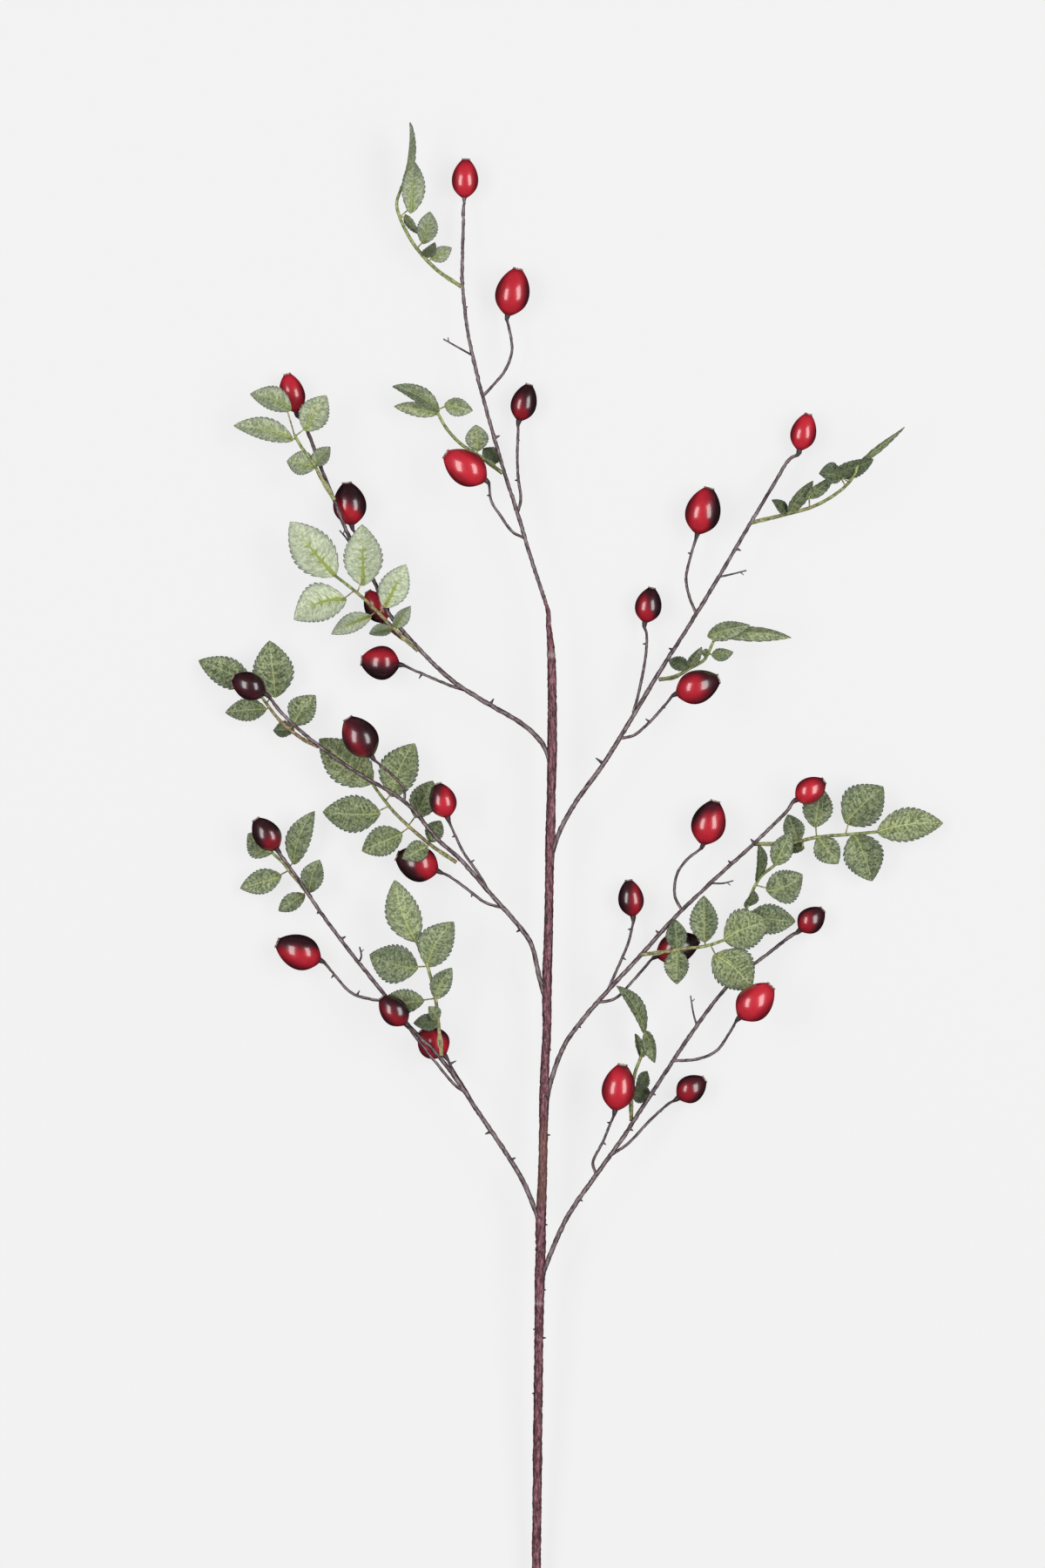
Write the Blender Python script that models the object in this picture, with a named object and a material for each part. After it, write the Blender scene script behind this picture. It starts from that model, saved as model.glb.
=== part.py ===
"""A cut sprig of rose hips that lies on its back: wood, ripe hips and compound leaves, in metres.

+X is to the right, +Y runs from the cut end to the growing tip, and the ground is the plane Z = 0.
Places in the plane are written as points of the photograph, and heights and sizes in millimetres.
"""

import math
import random

import bmesh
import bpy
from mathutils import Matrix, Vector

MM = 0.001
PHOTO_POINT = 0.5 * MM  # real size of one pixel of the photograph
PHOTO_CENTRE = (656, 1040)  # the pixel above the middle of the sprig

CLEARANCE = 0.3 * MM  # between separate pieces that meet
WOOD_STEP = 20 * MM  # between the rings of a stem
STALK_STEP = 12 * MM
RACHIS_STEP = 9 * MM
FLAT_CUT = 0.45  # how much a hip that rests on the ground is flattened below, mm

HIP_SIDES = 9
HIP_PROFILE = [  # share of the length from the stalk, share of the largest radius
    (0.0, 0.17),
    (0.06, 0.44),
    (0.19, 0.82),
    (0.41, 1.0),
    (0.65, 0.90),
    (0.83, 0.64),
    (0.94, 0.33),
    (1.0, 0.27),
    (0.975, 0.0),
]
STALK_RADIUS = 0.75
STALK_TOP_RADIUS = 1.5
STALK_STRAIGHT = 2.5  # the stretch under the fruit that is in line with it

SHOOT_ROOT_RADIUS = 1.4
SHOOT_TIP_RADIUS = 0.95
TWIG_RADIUS = 0.6
THORN_RADIUS = 1.2  # at the foot of a prickle
STALK_THORN_RADIUS = 0.85

BLADE_THICKNESS = 0.8
BLADE_FOLD = 0.14  # rise of a blade's edge above its midrib, per width
RACHIS_RADIUS = (0.85, 0.5)
LEAFLET_STALK_RADIUS = 0.55
BLADE_SUNK = 0.45  # how far a blade's base reaches past the rachis's axis, mm
NO_STALK = 1.5  # a leaflet whose base is this near to the rachis, in mm, sits right on it

MAIN_STEM = [  # photo x, photo y, height and radius in mm, from the cut end to the tip
    (616, 1940, 2.7, 2.7), (616, 1800, 8.0, 2.6), (617, 1700, 11.5, 2.6), (618, 1600, 15.0, 2.6),
    (619, 1520, 17.6, 2.6), (620, 1462, 19.0, 3.0), (621, 1430, 19.6, 2.7), (621, 1402, 20.0, 3.0),
    (623, 1350, 20.0, 2.6), (624, 1300, 20.0, 2.5), (625, 1256, 20.0, 2.9), (626, 1220, 20.0, 2.5),
    (628, 1180, 20.0, 2.5), (628, 1130, 20.0, 2.9), (630, 1060, 20.0, 2.5), (631, 1000, 20.0, 2.5),
    (632, 958, 20.0, 2.9), (633, 910, 20.0, 2.5), (634, 862, 20.0, 2.9), (634, 800, 20.0, 2.6),
    (633, 752, 20.0, 2.4), (630, 718, 19.6, 1.5), (628, 697, 19.4, 1.15), (611, 645, 19.0, 1.1),
    (595, 592, 18.5, 1.15), (580, 545, 18.0, 1.1), (566, 497, 17.5, 1.05), (549, 435, 16.5, 1.05),
    (537, 380, 15.5, 1.0), (531, 325, 14.5, 1.0), (531, 290, 13.0, 0.95), (532, 262, 10.5, 0.9),
    (532, 240, 8.3, 0.85),
]
MAIN_THORNS = [
    (611, 1600), (612, 1526), (627, 1536), (627, 1481), (629, 1406), (632, 1303), (633, 1205),
    (537, 352), (574, 500), (559, 569), (591, 551), (597, 505),
]
LEADER_TWIG = [(541, 407, 15.8), (525, 398, 17.0), (509, 389, 17.5)]
SHOOTS = {  # wood and twigs as photo x, photo y and height; thorns as photo places of their tips
    "a": {
        "wood": [
            (632, 874, 20), (621, 851, 20.5), (598, 830, 20.5), (554, 804, 20), (519, 781, 20),
            (485, 749, 20), (447, 705, 20), (430, 668, 20), (402, 618, 20.5), (384, 575, 20.5),
            (366, 530, 17), (355, 500, 12), (345, 480, 8.5),
        ],
        "twigs": [[(403, 626, 20.5), (397, 617, 21.5), (390, 609, 23)]],
        "thorns": [(567, 802), (481, 779), (508, 775)],
    },
    "b": {
        "wood": [
            (628, 1152, 20), (620, 1125, 20.5), (610, 1084, 20.5), (590, 1056, 20), (565, 1028, 20),
            (530, 988, 20), (502, 963, 20.5), (475, 930, 20.5), (450, 910, 20.5), (420, 893, 20.5),
            (385, 870, 20.5), (351, 844, 20.5), (324, 819, 20.5),
        ],
        "twigs": [],
        "thorns": [(593, 1070), (545, 987), (541, 1030), (519, 961)],
    },
    "c": {
        "wood": [
            (621, 1408, 20), (613, 1385, 20.5), (600, 1355, 20.5), (580, 1322, 20), (548, 1275, 20),
            (525, 1240, 21.5), (500, 1208, 22.5), (470, 1178, 21.5), (440, 1140, 21), (404, 1095, 21),
            (370, 1050, 20.5), (343, 1010, 19.5), (321, 980, 18.5),
        ],
        "twigs": [[(413, 1103, 21), (415, 1097, 22), (413, 1087, 24)]],
        "thorns": [
            (557, 1302), (592, 1329), (397, 1075), (524, 1218), (380, 1123), (413, 1137), (364, 1049),
        ],
    },
    "d": {
        "wood": [
            (632, 986, 20), (642, 956, 20.5), (661, 921, 20.5), (693, 877, 21), (722, 830, 21),
            (755, 775, 21), (790, 720, 20), (825, 663, 19), (855, 612, 17), (885, 562, 13), (905, 529, 8.5),
        ],
        "twigs": [[(827, 662, 19), (841, 659, 20), (857, 655, 21.5)]],
        "thorns": [
            (768, 744), (684, 870), (738, 739), (738, 784), (764, 813), (741, 825), (851, 632), (790, 668),
            (790, 634),
        ],
    },
    "e": {
        "wood": [
            (626, 1272, 20), (633, 1240, 20.5), (648, 1200, 20.5), (672, 1167, 20), (701, 1134, 20),
            (739, 1093, 20), (775, 1053, 20), (822, 1008, 20), (862, 972, 19.5), (891, 944, 19),
            (903, 932, 18),
        ],
        "twigs": [[(818, 1014, 20), (830, 1014, 21), (842, 1011, 22)]],
        "thorns": [(667, 1180), (753, 1068), (721, 1067), (862, 963), (836, 988), (719, 1102)],
    },
    "f": {
        "wood": [
            (620, 1476, 18.8), (628, 1450, 19.5), (651, 1398, 20), (683, 1351, 20), (714, 1308, 20),
            (732, 1280, 19.5), (765, 1230, 18), (800, 1178, 16), (838, 1130, 14), (886, 1092, 11),
            (911, 1073, 8.2),
        ],
        "twigs": [[(800, 1177, 16), (796, 1162, 17), (793, 1143, 17.5)]],
        "thorns": [
            (669, 1379), (654, 1397), (697, 1288), (696, 1314), (760, 1277), (727, 1298), (753, 1257),
        ],
    },
}
HIPS = {  # photo places of the stalk's end and the tip, width and height in mm, the stalk's way
    "t1": {"base": (533, 226), "tip": (535, 181), "width": 15.5, "height": 0},
    "t2": {"base": (583, 361), "tip": (595, 307), "width": 20, "height": 0,
           "stalk": [(554, 455), (568, 440), (581, 423), (588, 400), (584, 374)]},
    "t3": {"base": (596, 482), "tip": (608, 440), "width": 15, "height": 0,
           "stalk": [(594, 590), (598, 572), (595, 548), (594, 520), (595, 494)]},
    "t4": {"base": (557, 552), "tip": (511, 521), "width": 20.5, "height": 28,
           "stalk": [(603, 618), (588, 610), (574, 591), (564, 575)]},
    "a1": {"base": (340, 472), "tip": (329, 428), "width": 15, "height": 0},
    "a2": {"base": (404, 602), "tip": (398, 553), "width": 19.5, "height": 0,
           "stalk": [(427, 661), (423, 640), (415, 621)]},
    "a3": {"base": (441, 714), "tip": (422, 678), "width": 14, "height": 0,
           "stalk": [(478, 741), (466, 736), (452, 726)]},
    "a4": {"base": (458, 763), "tip": (414, 758), "width": 20, "height": 0,
           "stalk": [(540, 794), (520, 788), (498, 779), (475, 769)]},
    "b1": {"base": (304, 797), "tip": (267, 777), "width": 16.5, "height": 20.5},
    "b2": {"base": (427, 868), "tip": (399, 824), "width": 20.5, "height": 27,
           "stalk": [(464, 922), (464, 906), (453, 892), (438, 879)]},
    "b3": {"base": (514, 938), "tip": (502, 899), "width": 16, "height": 22,
           "stalk": [(560, 1021), (550, 1004), (532, 978), (521, 955)]},
    "b4": {"base": (502, 1000), "tip": (455, 982), "width": 21, "height": 0,
           "stalk": [(577, 1042), (557, 1036), (538, 1022), (519, 1008)]},
    "c1": {"base": (318, 975), "tip": (293, 940), "width": 16, "height": 18},
    "c2": {"base": (367, 1103), "tip": (317, 1082), "width": 20.5, "height": 0,
           "stalk": [(446, 1149), (425, 1147), (402, 1139), (382, 1117)]},
    "c3": {"base": (466, 1175), "tip": (438, 1144), "width": 16, "height": 31.5,
           "stalk": [(534, 1254), (520, 1243), (501, 1220), (481, 1195)]},
    "c4": {"base": (510, 1212), "tip": (484, 1182), "width": 19, "height": 0,
           "stalk": [(546, 1272), (535, 1252), (521, 1230)]},
    "d1": {"base": (918, 516), "tip": (929, 474), "width": 15, "height": 0},
    "d2": {"base": (801, 612), "tip": (815, 559), "width": 20.5, "height": 0,
           "stalk": [(799, 704), (791, 683), (788, 662), (794, 636)]},
    "d3": {"base": (741, 714), "tip": (749, 674), "width": 15.5, "height": 0,
           "stalk": [(727, 818), (733, 797), (741, 757), (743, 730)]},
    "d4": {"base": (777, 797), "tip": (826, 779), "width": 19.5, "height": 30,
           "stalk": [(709, 848), (728, 844), (746, 829), (763, 810)]},
    "e1": {"base": (915, 918), "tip": (947, 896), "width": 15.5, "height": 18},
    "e2": {"base": (807, 969), "tip": (822, 919), "width": 20, "height": 0,
           "stalk": [(783, 1045), (775, 1028), (777, 1005), (789, 987)]},
    "e3": {"base": (727, 1052), "tip": (722, 1010), "width": 15, "height": 0,
           "stalk": [(699, 1134), (709, 1112), (721, 1084), (726, 1065)]},
    "e4": {"base": (755, 1098), "tip": (803, 1078), "width": 18.5, "height": 0,
           "stalk": [(685, 1151), (707, 1146), (727, 1126), (742, 1109)]},
    "f1": {"base": (919, 1068), "tip": (946, 1044), "width": 15, "height": 0},
    "f2": {"base": (849, 1168), "tip": (886, 1131), "width": 20.5, "height": 27.5,
           "stalk": [(774, 1218), (800, 1216), (823, 1206), (839, 1183)]},
    "f3": {"base": (779, 1261), "tip": (810, 1239), "width": 16, "height": 0,
           "stalk": [(699, 1328), (722, 1312), (746, 1287), (766, 1269)]},
    "f4": {"base": (706, 1274), "tip": (715, 1221), "width": 19.5, "height": 28,
           "stalk": [(684, 1347), (681, 1333), (692, 1311), (701, 1289)]},
}
LEAVES = {  # the rachis; leaflets as base, tip, width, heights of base and tip, roll, bow to the left
    "t1": {
        "rachis": [(530, 329, 14.5), (500, 308, 15), (473, 277, 17), (456, 239, 18), (461, 214, 18)],
        "leaflets": [
            (494, 297, 519, 284, 9, 16, 12, 20, 0), (489, 293, 500, 279, 8, 16, 22, 35, 0),
            (486, 280, 494, 242, 12, 16, 13, 15, 0), (465, 246, 481, 268, 7, 18, 13, 45, 0),
            (472, 245, 474, 182, 14, 18, 14, 20, 0), (464, 211, 472, 141, 15, 18, 24, 75, -0.5),
        ],
    },
    "t2": {
        "rachis": [(577, 543, 17.5), (553, 525, 14), (530, 510, 13), (513, 492, 14), (501, 471, 15)],
        "leaflets": [
            (572, 531, 555, 514, 10.5, 15, 11, 10, 0), (549, 518, 546, 487, 13, 14, 12, 0, 0),
            (510, 464, 543, 471, 10.5, 14, 16, 0, 0), (502, 476, 452, 466, 8.5, 14, 9, -20, -1),
            (505, 472, 451, 443, 12.5, 15, 20, 40, -2),
        ],
    },
    "a1": {
        "rachis": [(384, 574, 22), (370, 551, 22.5), (360, 532, 22), (346, 513, 21), (338, 499, 20.5)],
        "leaflets": [
            (361, 537, 329, 529, 14, 22, 18, 10, 0), (362, 533, 379, 513, 10, 22, 24, -10, 0),
            (350, 495, 375, 454, 17, 21, 22, 10, 1), (335, 471, 287, 452, 14, 24, 22, 15, -2),
            (337, 505, 268, 488, 13, 20.5, 16, 10, -2),
        ],
    },
    "a2": {
        "rachis": [(480, 747, 20), (462, 731, 22), (437, 706, 23), (413, 683, 24), (385, 661, 24)],
        "leaflets": [
            (453, 722, 472, 696, 9, 23, 26, 30, 1), (450, 723, 424, 727, 9, 23, 24, 35, 0),
            (427, 707, 380, 728, 11, 23, 20, 15, -0.5), (441, 698, 466, 648, 17, 23.5, 25, -10, -0.5),
            (398, 688, 337, 711, 22, 24, 20, 10, -3.5), (417, 673, 416, 602, 22, 24, 25, 5, 0),
            (385, 661, 333, 599, 24, 24, 21, -5, 0.5),
        ],
    },
    "b1": {
        "rachis": [(365, 857, 18.5), (344, 846, 13), (320, 826, 9), (300, 800, 8), (288, 787, 8)],
        "leaflets": [
            (337, 832, 362, 798, 16, 10, 12, 0, 1.5), (338, 838, 313, 838, 10, 10, 6, 20, 0),
            (316, 801, 309, 735, 23, 8, 8, 5, 0), (306, 814, 258, 818, 13, 8, 5, 5, -0.5),
            (288, 785, 227, 758, 17, 8, 6, -5, -1.2),
        ],
    },
    "b2": {
        "rachis": [(524, 990, 18.5), (492, 968, 16), (458, 938, 13), (440, 917, 12), (427, 899, 12)],
        "leaflets": [
            (491, 971, 462, 986, 12, 18, 27, 0, 0), (494, 967, 506, 942, 11, 15, 12, 10, 1),
            (462, 957, 415, 977, 17, 15, 12, 10, 0), (477, 939, 497, 896, 16, 14, 8, 0, 0),
            (437, 934, 370, 932, 21, 12, 8, 5, 1), (449, 915, 476, 853, 22, 12, 8, -5, 2),
            (425, 898, 366, 848, 24, 12, 10, 0, 0.5),
        ],
    },
    "c1": {
        "rachis": [(357, 1030, 18.5), (345, 1015, 13), (335, 1004, 10), (325, 991, 8), (312, 979, 7)],
        "leaflets": [
            (355, 1025, 367, 987, 13, 14, 11, 5, 1.5), (350, 1027, 319, 1046, 10, 14, 9, 10, 0),
            (337, 993, 361, 931, 14, 9, 10, 0, 3), (323, 1005, 275, 1020, 14, 9, 6, 10, 0.5),
            (311, 981, 284, 957, 16, 7, 6, 0, 1),
        ],
    },
    "c2": {
        "rachis": [(507, 1212, 24), (504, 1180, 24), (500, 1146, 22), (490, 1106, 20), (478, 1081, 19)],
        "leaflets": [
            (503, 1175, 475, 1174, 10, 24, 26, 15, 0), (503, 1171, 493, 1155, 8, 24, 27, 25, 0),
            (500, 1147, 519, 1111, 12, 22, 24, 5, 1.5), (487, 1149, 441, 1146, 14, 21.5, 15, 10, 1.5),
            (490, 1110, 521, 1058, 20, 20, 22, -5, 2.5), (480, 1112, 424, 1096, 22, 20, 15, 5, 1.5),
            (477, 1081, 453, 1010, 19.5, 19, 17, 0, 2),
        ],
    },
    "d1": {
        "rachis": [
            (862, 600, 16), (900, 591, 19), (935, 581, 22), (964, 564, 24), (980, 547, 25), (985, 533, 25),
        ],
        "leaflets": [
            (904, 589, 886, 574, 8, 20, 26, 40, 0), (906, 588, 934, 553, 10, 20, 26, 40, 2),
            (925, 572, 957, 547, 9, 24, 27, 40, 0), (967, 547, 940, 544, 14, 26, 30, 35, 0),
            (956, 544, 1003, 528, 13, 26, 24, 40, 0), (985, 530, 1039, 491, 5.5, 25, 22, 50, 1),
        ],
    },
    "d2": {
        "rachis": [(757, 780, 21), (775, 777, 18), (792, 767, 16.5), (809, 757, 17), (819, 737, 18)],
        "leaflets": [
            (791, 767, 768, 758, 9, 18, 13, 20, 0), (792, 767, 806, 743, 7, 18, 22, 30, 1),
            (817, 752, 842, 749, 8, 17, 20, 20, 0), (814, 751, 805, 749, 5, 17, 18, 20, 0),
            (812, 731, 861, 718, 11, 18, 26, 20, 1.2), (821, 729, 909, 733, 10, 18, 14, 35, 3.5),
        ],
    },
    "e1": {
        "rachis": [(866, 969, 18), (905, 968, 14), (940, 961, 11), (975, 958, 10), (1008, 955, 10)],
        "leaflets": [
            (918, 966, 905, 935, 12, 13, 8, 10, 0), (924, 973, 905, 973, 8, 13, 9, 20, 0),
            (936, 950, 943, 903, 17, 11, 7, 0, 0), (940, 963, 963, 992, 15, 11, 9, 10, 0),
            (971, 945, 1015, 903, 24.5, 10, 9, 0, 0.8), (982, 960, 1002, 1012, 22.5, 10, 8, 5, 1.2),
            (1008, 954, 1084, 945, 19, 10, 7, 0, 2),
        ],
    },
    "e2": {
        "rachis": [(735, 1096, 20), (760, 1093, 22.5), (785, 1089, 23), (810, 1086, 22), (832, 1079, 21)],
        "leaflets": [
            (777, 1088, 775, 1055, 12, 23, 21, 5, 0), (777, 1091, 777, 1130, 14, 23, 22, 5, 0),
            (809, 1082, 808, 1028, 16, 22, 22, -5, 0), (819, 1096, 863, 1136, 24, 21.5, 17.5, 0, 2.5),
            (832, 1079, 884, 1059, 23, 21, 20, 0, 2),
        ],
    },
    "f1": {
        "rachis": [(838, 1128, 13), (847, 1085, 13), (858, 1041, 14), (871, 1010, 15), (890, 993, 15)],
        "leaflets": [
            (860, 1051, 914, 1058, 17, 14, 13, 0, -0.5), (860, 1042, 865, 1022, 10, 14, 22, 50, 0),
            (880, 1023, 922, 1004, 19.5, 15, 14, 5, -2), (870, 1012, 872, 970, 13, 15, 24, 60, 0),
            (892, 993, 908, 955, 12.5, 15, 17, 0, 0),
        ],
    },
    "f2": {
        "rachis": [(725, 1287, 17), (725, 1262, 15.5), (729, 1233, 15.5), (737, 1210, 17), (741, 1184, 18)],
        "leaflets": [
            (731, 1250, 744, 1230, 9, 15.5, 10, 30, 0), (728, 1253, 748, 1259, 11, 15.5, 12, 10, 0),
            (741, 1182, 751, 1220, 10, 18, 25, 40, 1.5), (736, 1213, 730, 1187, 11, 17, 8, 60, 0),
            (741, 1186, 709, 1131, 13, 18, 22, 50, -2.8),
        ],
    },
}


def cleared_scene():
    for obj in list(bpy.data.objects):
        bpy.data.objects.remove(obj, do_unlink=True)


def material(name, colour, roughness):
    made = bpy.data.materials.new(name)
    made.use_nodes = True
    shader = made.node_tree.nodes["Principled BSDF"]
    shader.inputs["Base Color"].default_value = (*colour, 1.0)
    shader.inputs["Roughness"].default_value = roughness
    shader.inputs["Metallic"].default_value = 0.0
    return made


def place(photo_x, photo_y, height):
    """The point in metres for a place in the photograph and a height in millimetres."""
    x = (photo_x - PHOTO_CENTRE[0]) * PHOTO_POINT
    y = (PHOTO_CENTRE[1] - photo_y) * PHOTO_POINT
    return Vector((x, y, height * MM))


def smooth_path(points, step):
    """Points about a step apart along the smooth curve through the given points."""
    ends = [points[0] * 2 - points[1], *points, points[-1] * 2 - points[-2]]
    path = [points[0]]
    for before, start, end, after in zip(ends, ends[1:], ends[2:], ends[3:]):
        count = max(1, round((end - start).length / step))
        for i in range(1, count + 1):
            t = i / count
            path.append(
                0.5 * (
                    2 * start
                    + (end - before) * t
                    + (2 * before - 5 * start + 4 * end - after) * t**2
                    + (3 * start - before - 3 * end + after) * t**3
                )
            )
    return path


def lengths_along(path):
    total = [0.0]
    for start, end in zip(path, path[1:]):
        total.append(total[-1] + (end - start).length)
    return [length / total[-1] for length in total]


def foot_on(path, point):
    """The spot on a path that is nearest to a point, seen from above."""
    spots = []
    for start, end in zip(path, path[1:]):
        reach = (end - start).xy
        share = (point - start).xy.dot(reach) / reach.length_squared
        spots.append(start.lerp(end, min(1.0, max(0.0, share))))
    return min(spots, key=lambda spot: (spot.xy - point.xy).length)


def linked(name, mesh):
    obj = bpy.data.objects.new(name, mesh)
    bpy.context.scene.collection.objects.link(obj)
    return obj


def tube(path, radii, resolution=1):
    """A closed round stick along a path, as an object with a mesh."""
    curve = bpy.data.curves.new("stick", "CURVE")
    curve.dimensions = "3D"
    curve.bevel_depth = MM
    curve.bevel_resolution = resolution
    curve.use_fill_caps = True
    spline = curve.splines.new("POLY")
    spline.points.add(len(path) - 1)
    for point, spot, radius in zip(spline.points, path, radii):
        point.co = (*spot, 1.0)
        point.radius = radius
    guide = linked("stick", curve)
    bpy.context.view_layer.update()
    graph = bpy.context.evaluated_depsgraph_get()
    mesh = bpy.data.meshes.new_from_object(guide.evaluated_get(graph))
    bpy.data.objects.remove(guide, do_unlink=True)
    bpy.data.curves.remove(curve)
    bm = bmesh.new()
    bm.from_mesh(mesh)
    bmesh.ops.remove_doubles(bm, verts=bm.verts, dist=0.001 * MM)
    bmesh.ops.recalc_face_normals(bm, faces=bm.faces)
    bm.to_mesh(mesh)
    bm.free()
    return linked("stick", mesh)


def tapered(path, root, tip):
    return [root + (tip - root) * share for share in lengths_along(path)]


def spike(start, end, start_radius, end_radius, sides):
    """A closed straight stick from one point to another, with radii in mm."""
    reach = end - start
    bm = bmesh.new()
    bmesh.ops.create_cone(
        bm,
        cap_ends=True,
        segments=sides,
        radius1=start_radius * MM,
        radius2=end_radius * MM,
        depth=reach.length,
    )
    turn = reach.to_track_quat("Z", "Y").to_matrix().to_4x4()
    bmesh.ops.transform(bm, verts=bm.verts, matrix=Matrix.Translation((start + end) / 2) @ turn)
    mesh = bpy.data.meshes.new("spike")
    bm.to_mesh(mesh)
    bm.free()
    return linked("spike", mesh)


def thorn(woods, tip):
    """A prickle from the axis of the nearest wood or stalk to a point beside it."""
    feet = [(foot_on(path, tip), radius) for path, radius in woods]
    root, radius = min(feet, key=lambda foot: (foot[0].xy - tip.xy).length)
    height = root.z + random.uniform(-1.0, 1.0) * MM
    return spike(root, Vector((tip.x, tip.y, height)), radius, 0.15, 3)


def boolean(target, pieces, operation):
    """Joins pieces to the target, or cuts them from it, and removes them."""
    group = bpy.data.collections.new("pieces")
    bpy.context.scene.collection.children.link(group)
    for piece in pieces:
        bpy.context.scene.collection.objects.unlink(piece)
        group.objects.link(piece)
    step = target.modifiers.new("join", "BOOLEAN")
    step.operation = operation
    step.operand_type = "COLLECTION"
    step.collection = group
    step.solver = "MANIFOLD"
    bpy.context.view_layer.update()
    graph = bpy.context.evaluated_depsgraph_get()
    mesh = bpy.data.meshes.new_from_object(target.evaluated_get(graph))
    target.modifiers.clear()
    target.data = mesh
    for piece in list(group.objects):
        bpy.data.objects.remove(piece, do_unlink=True)
    bpy.data.collections.remove(group)
    return target


def finished(obj, name, look):
    obj.name = name
    obj.data.name = name
    obj.data.materials.clear()
    obj.data.materials.append(look)
    obj.data.shade_smooth()
    obj.data.set_sharp_from_angle(angle=math.radians(40))
    return obj


def hip_axis(hip):
    """The stalk's end and the tip of a hip, in metres."""
    height = hip["height"] or hip["width"] / 2 - FLAT_CUT
    return place(*hip["base"], height), place(*hip["tip"], height)


def stalk_end(hip):
    """The last two points of a hip's stalk, in line with the fruit and just short of it."""
    base, tip = hip_axis(hip)
    along = (tip - base).normalized()
    return base - along * STALK_STRAIGHT * MM, base - along * CLEARANCE


def stalk_course(wood, hip):
    """The axis and radii of a hip's stalk, from the axis of the wood to just short of the fruit."""
    straight, end = stalk_end(hip)
    spots = hip["stalk"]
    root = place(*spots[0], 0)
    root.z = foot_on(wood, root).z
    route = [root]
    for i, spot in enumerate(spots[1:], 1):
        share = i / len(spots)
        height = root.z + (end.z - root.z) * (3 * share**2 - 2 * share**3)
        route.append(place(*spot, height / MM))
    route += [straight, end]
    path = smooth_path(route, STALK_STEP)
    radii = [STALK_RADIUS] * (len(path) - 2) + [STALK_RADIUS * 1.15, STALK_TOP_RADIUS]
    return path, radii


def fat_stick(path, radii):
    """A cutter a clearance wider than a stem."""
    return tube(path, [radius + CLEARANCE / MM for radius in radii], 2)


def main_stem_course():
    """The main stem's axis and its radius in mm at each point of it."""
    route = [place(x, y, height) for x, y, height, _ in MAIN_STEM] + [*stalk_end(HIPS["t1"])]
    route_radii = [radius for *_, radius in MAIN_STEM] + [STALK_RADIUS, STALK_TOP_RADIUS]
    route_shares = lengths_along(route)
    path = smooth_path(route, WOOD_STEP)
    radii = []
    for share in lengths_along(path):
        k = sum(route_share <= share for route_share in route_shares[1:-1])
        part = (share - route_shares[k]) / (route_shares[k + 1] - route_shares[k])
        radii.append(route_radii[k] + (route_radii[k + 1] - route_radii[k]) * part)
    return path, radii


def shoot_course(letter, shoot):
    """A side shoot's axis and its radius in mm at each point of it."""
    route = [place(*spot) for spot in shoot["wood"]] + [*stalk_end(HIPS[letter + "1"])]
    path = smooth_path(route, WOOD_STEP)
    return path, tapered(path, SHOOT_ROOT_RADIUS, SHOOT_TIP_RADIUS)


def woody_stem(wood, path, letter, thorns, twigs):
    """Fuses a stem's thorns, bare twigs and hip stalks to it."""
    stalks = [stalk_course(path, HIPS[letter + number]) for number in "234"]
    pieces = [tube(*course, 0) for course in stalks]
    woods = [(path, THORN_RADIUS)] + [(course[0], STALK_THORN_RADIUS) for course in stalks]
    pieces += [thorn(woods, place(x, y, 0)) for x, y in thorns]
    for spots in twigs:
        twig = smooth_path([place(*spot) for spot in spots], RACHIS_STEP)
        pieces.append(tube(twig, [TWIG_RADIUS] * len(twig), 0))
    boolean(wood, pieces, "UNION")


def hip(name, layout, look):
    """One fruit: a turned egg with the dry crown of its flower at the tip."""
    base, tip = hip_axis(layout)
    along = tip - base
    bm = bmesh.new()
    rim = []
    for share, width in HIP_PROFILE:
        rim.append(bm.verts.new((width * layout["width"] / 2 * MM, 0, share * along.length)))
    start = bm.verts.new((0, 0, 0))
    line = [bm.edges.new(pair) for pair in zip([start, *rim], rim)]
    bmesh.ops.spin(
        bm,
        geom=[start, *rim, *line],
        axis=(0, 0, 1),
        cent=(0, 0, 0),
        steps=HIP_SIDES,
        angle=math.tau,
        use_merge=True,
    )
    bmesh.ops.remove_doubles(bm, verts=bm.verts, dist=0.01 * MM)
    turn = along.to_track_quat("Z", "Y").to_matrix().to_4x4()
    bmesh.ops.transform(bm, verts=bm.verts, matrix=Matrix.Translation(base) @ turn)
    if not layout["height"]:
        cut = bmesh.ops.bisect_plane(
            bm,
            geom=[*bm.verts, *bm.edges, *bm.faces],
            plane_co=(0, 0, 0),
            plane_no=(0, 0, -1),
            clear_outer=True,
        )["geom_cut"]
        bmesh.ops.contextual_create(bm, geom=[e for e in cut if isinstance(e, bmesh.types.BMEdge)])
    bmesh.ops.recalc_face_normals(bm, faces=bm.faces)
    mesh = bpy.data.meshes.new(name)
    bm.to_mesh(mesh)
    bm.free()
    return finished(linked(name, mesh), name, look)


def half_width(t):
    """Half the width of a rose leaflet as a share of the largest, at share t of its length."""
    return math.sin(math.pi * t**0.86) ** 0.82


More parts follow.
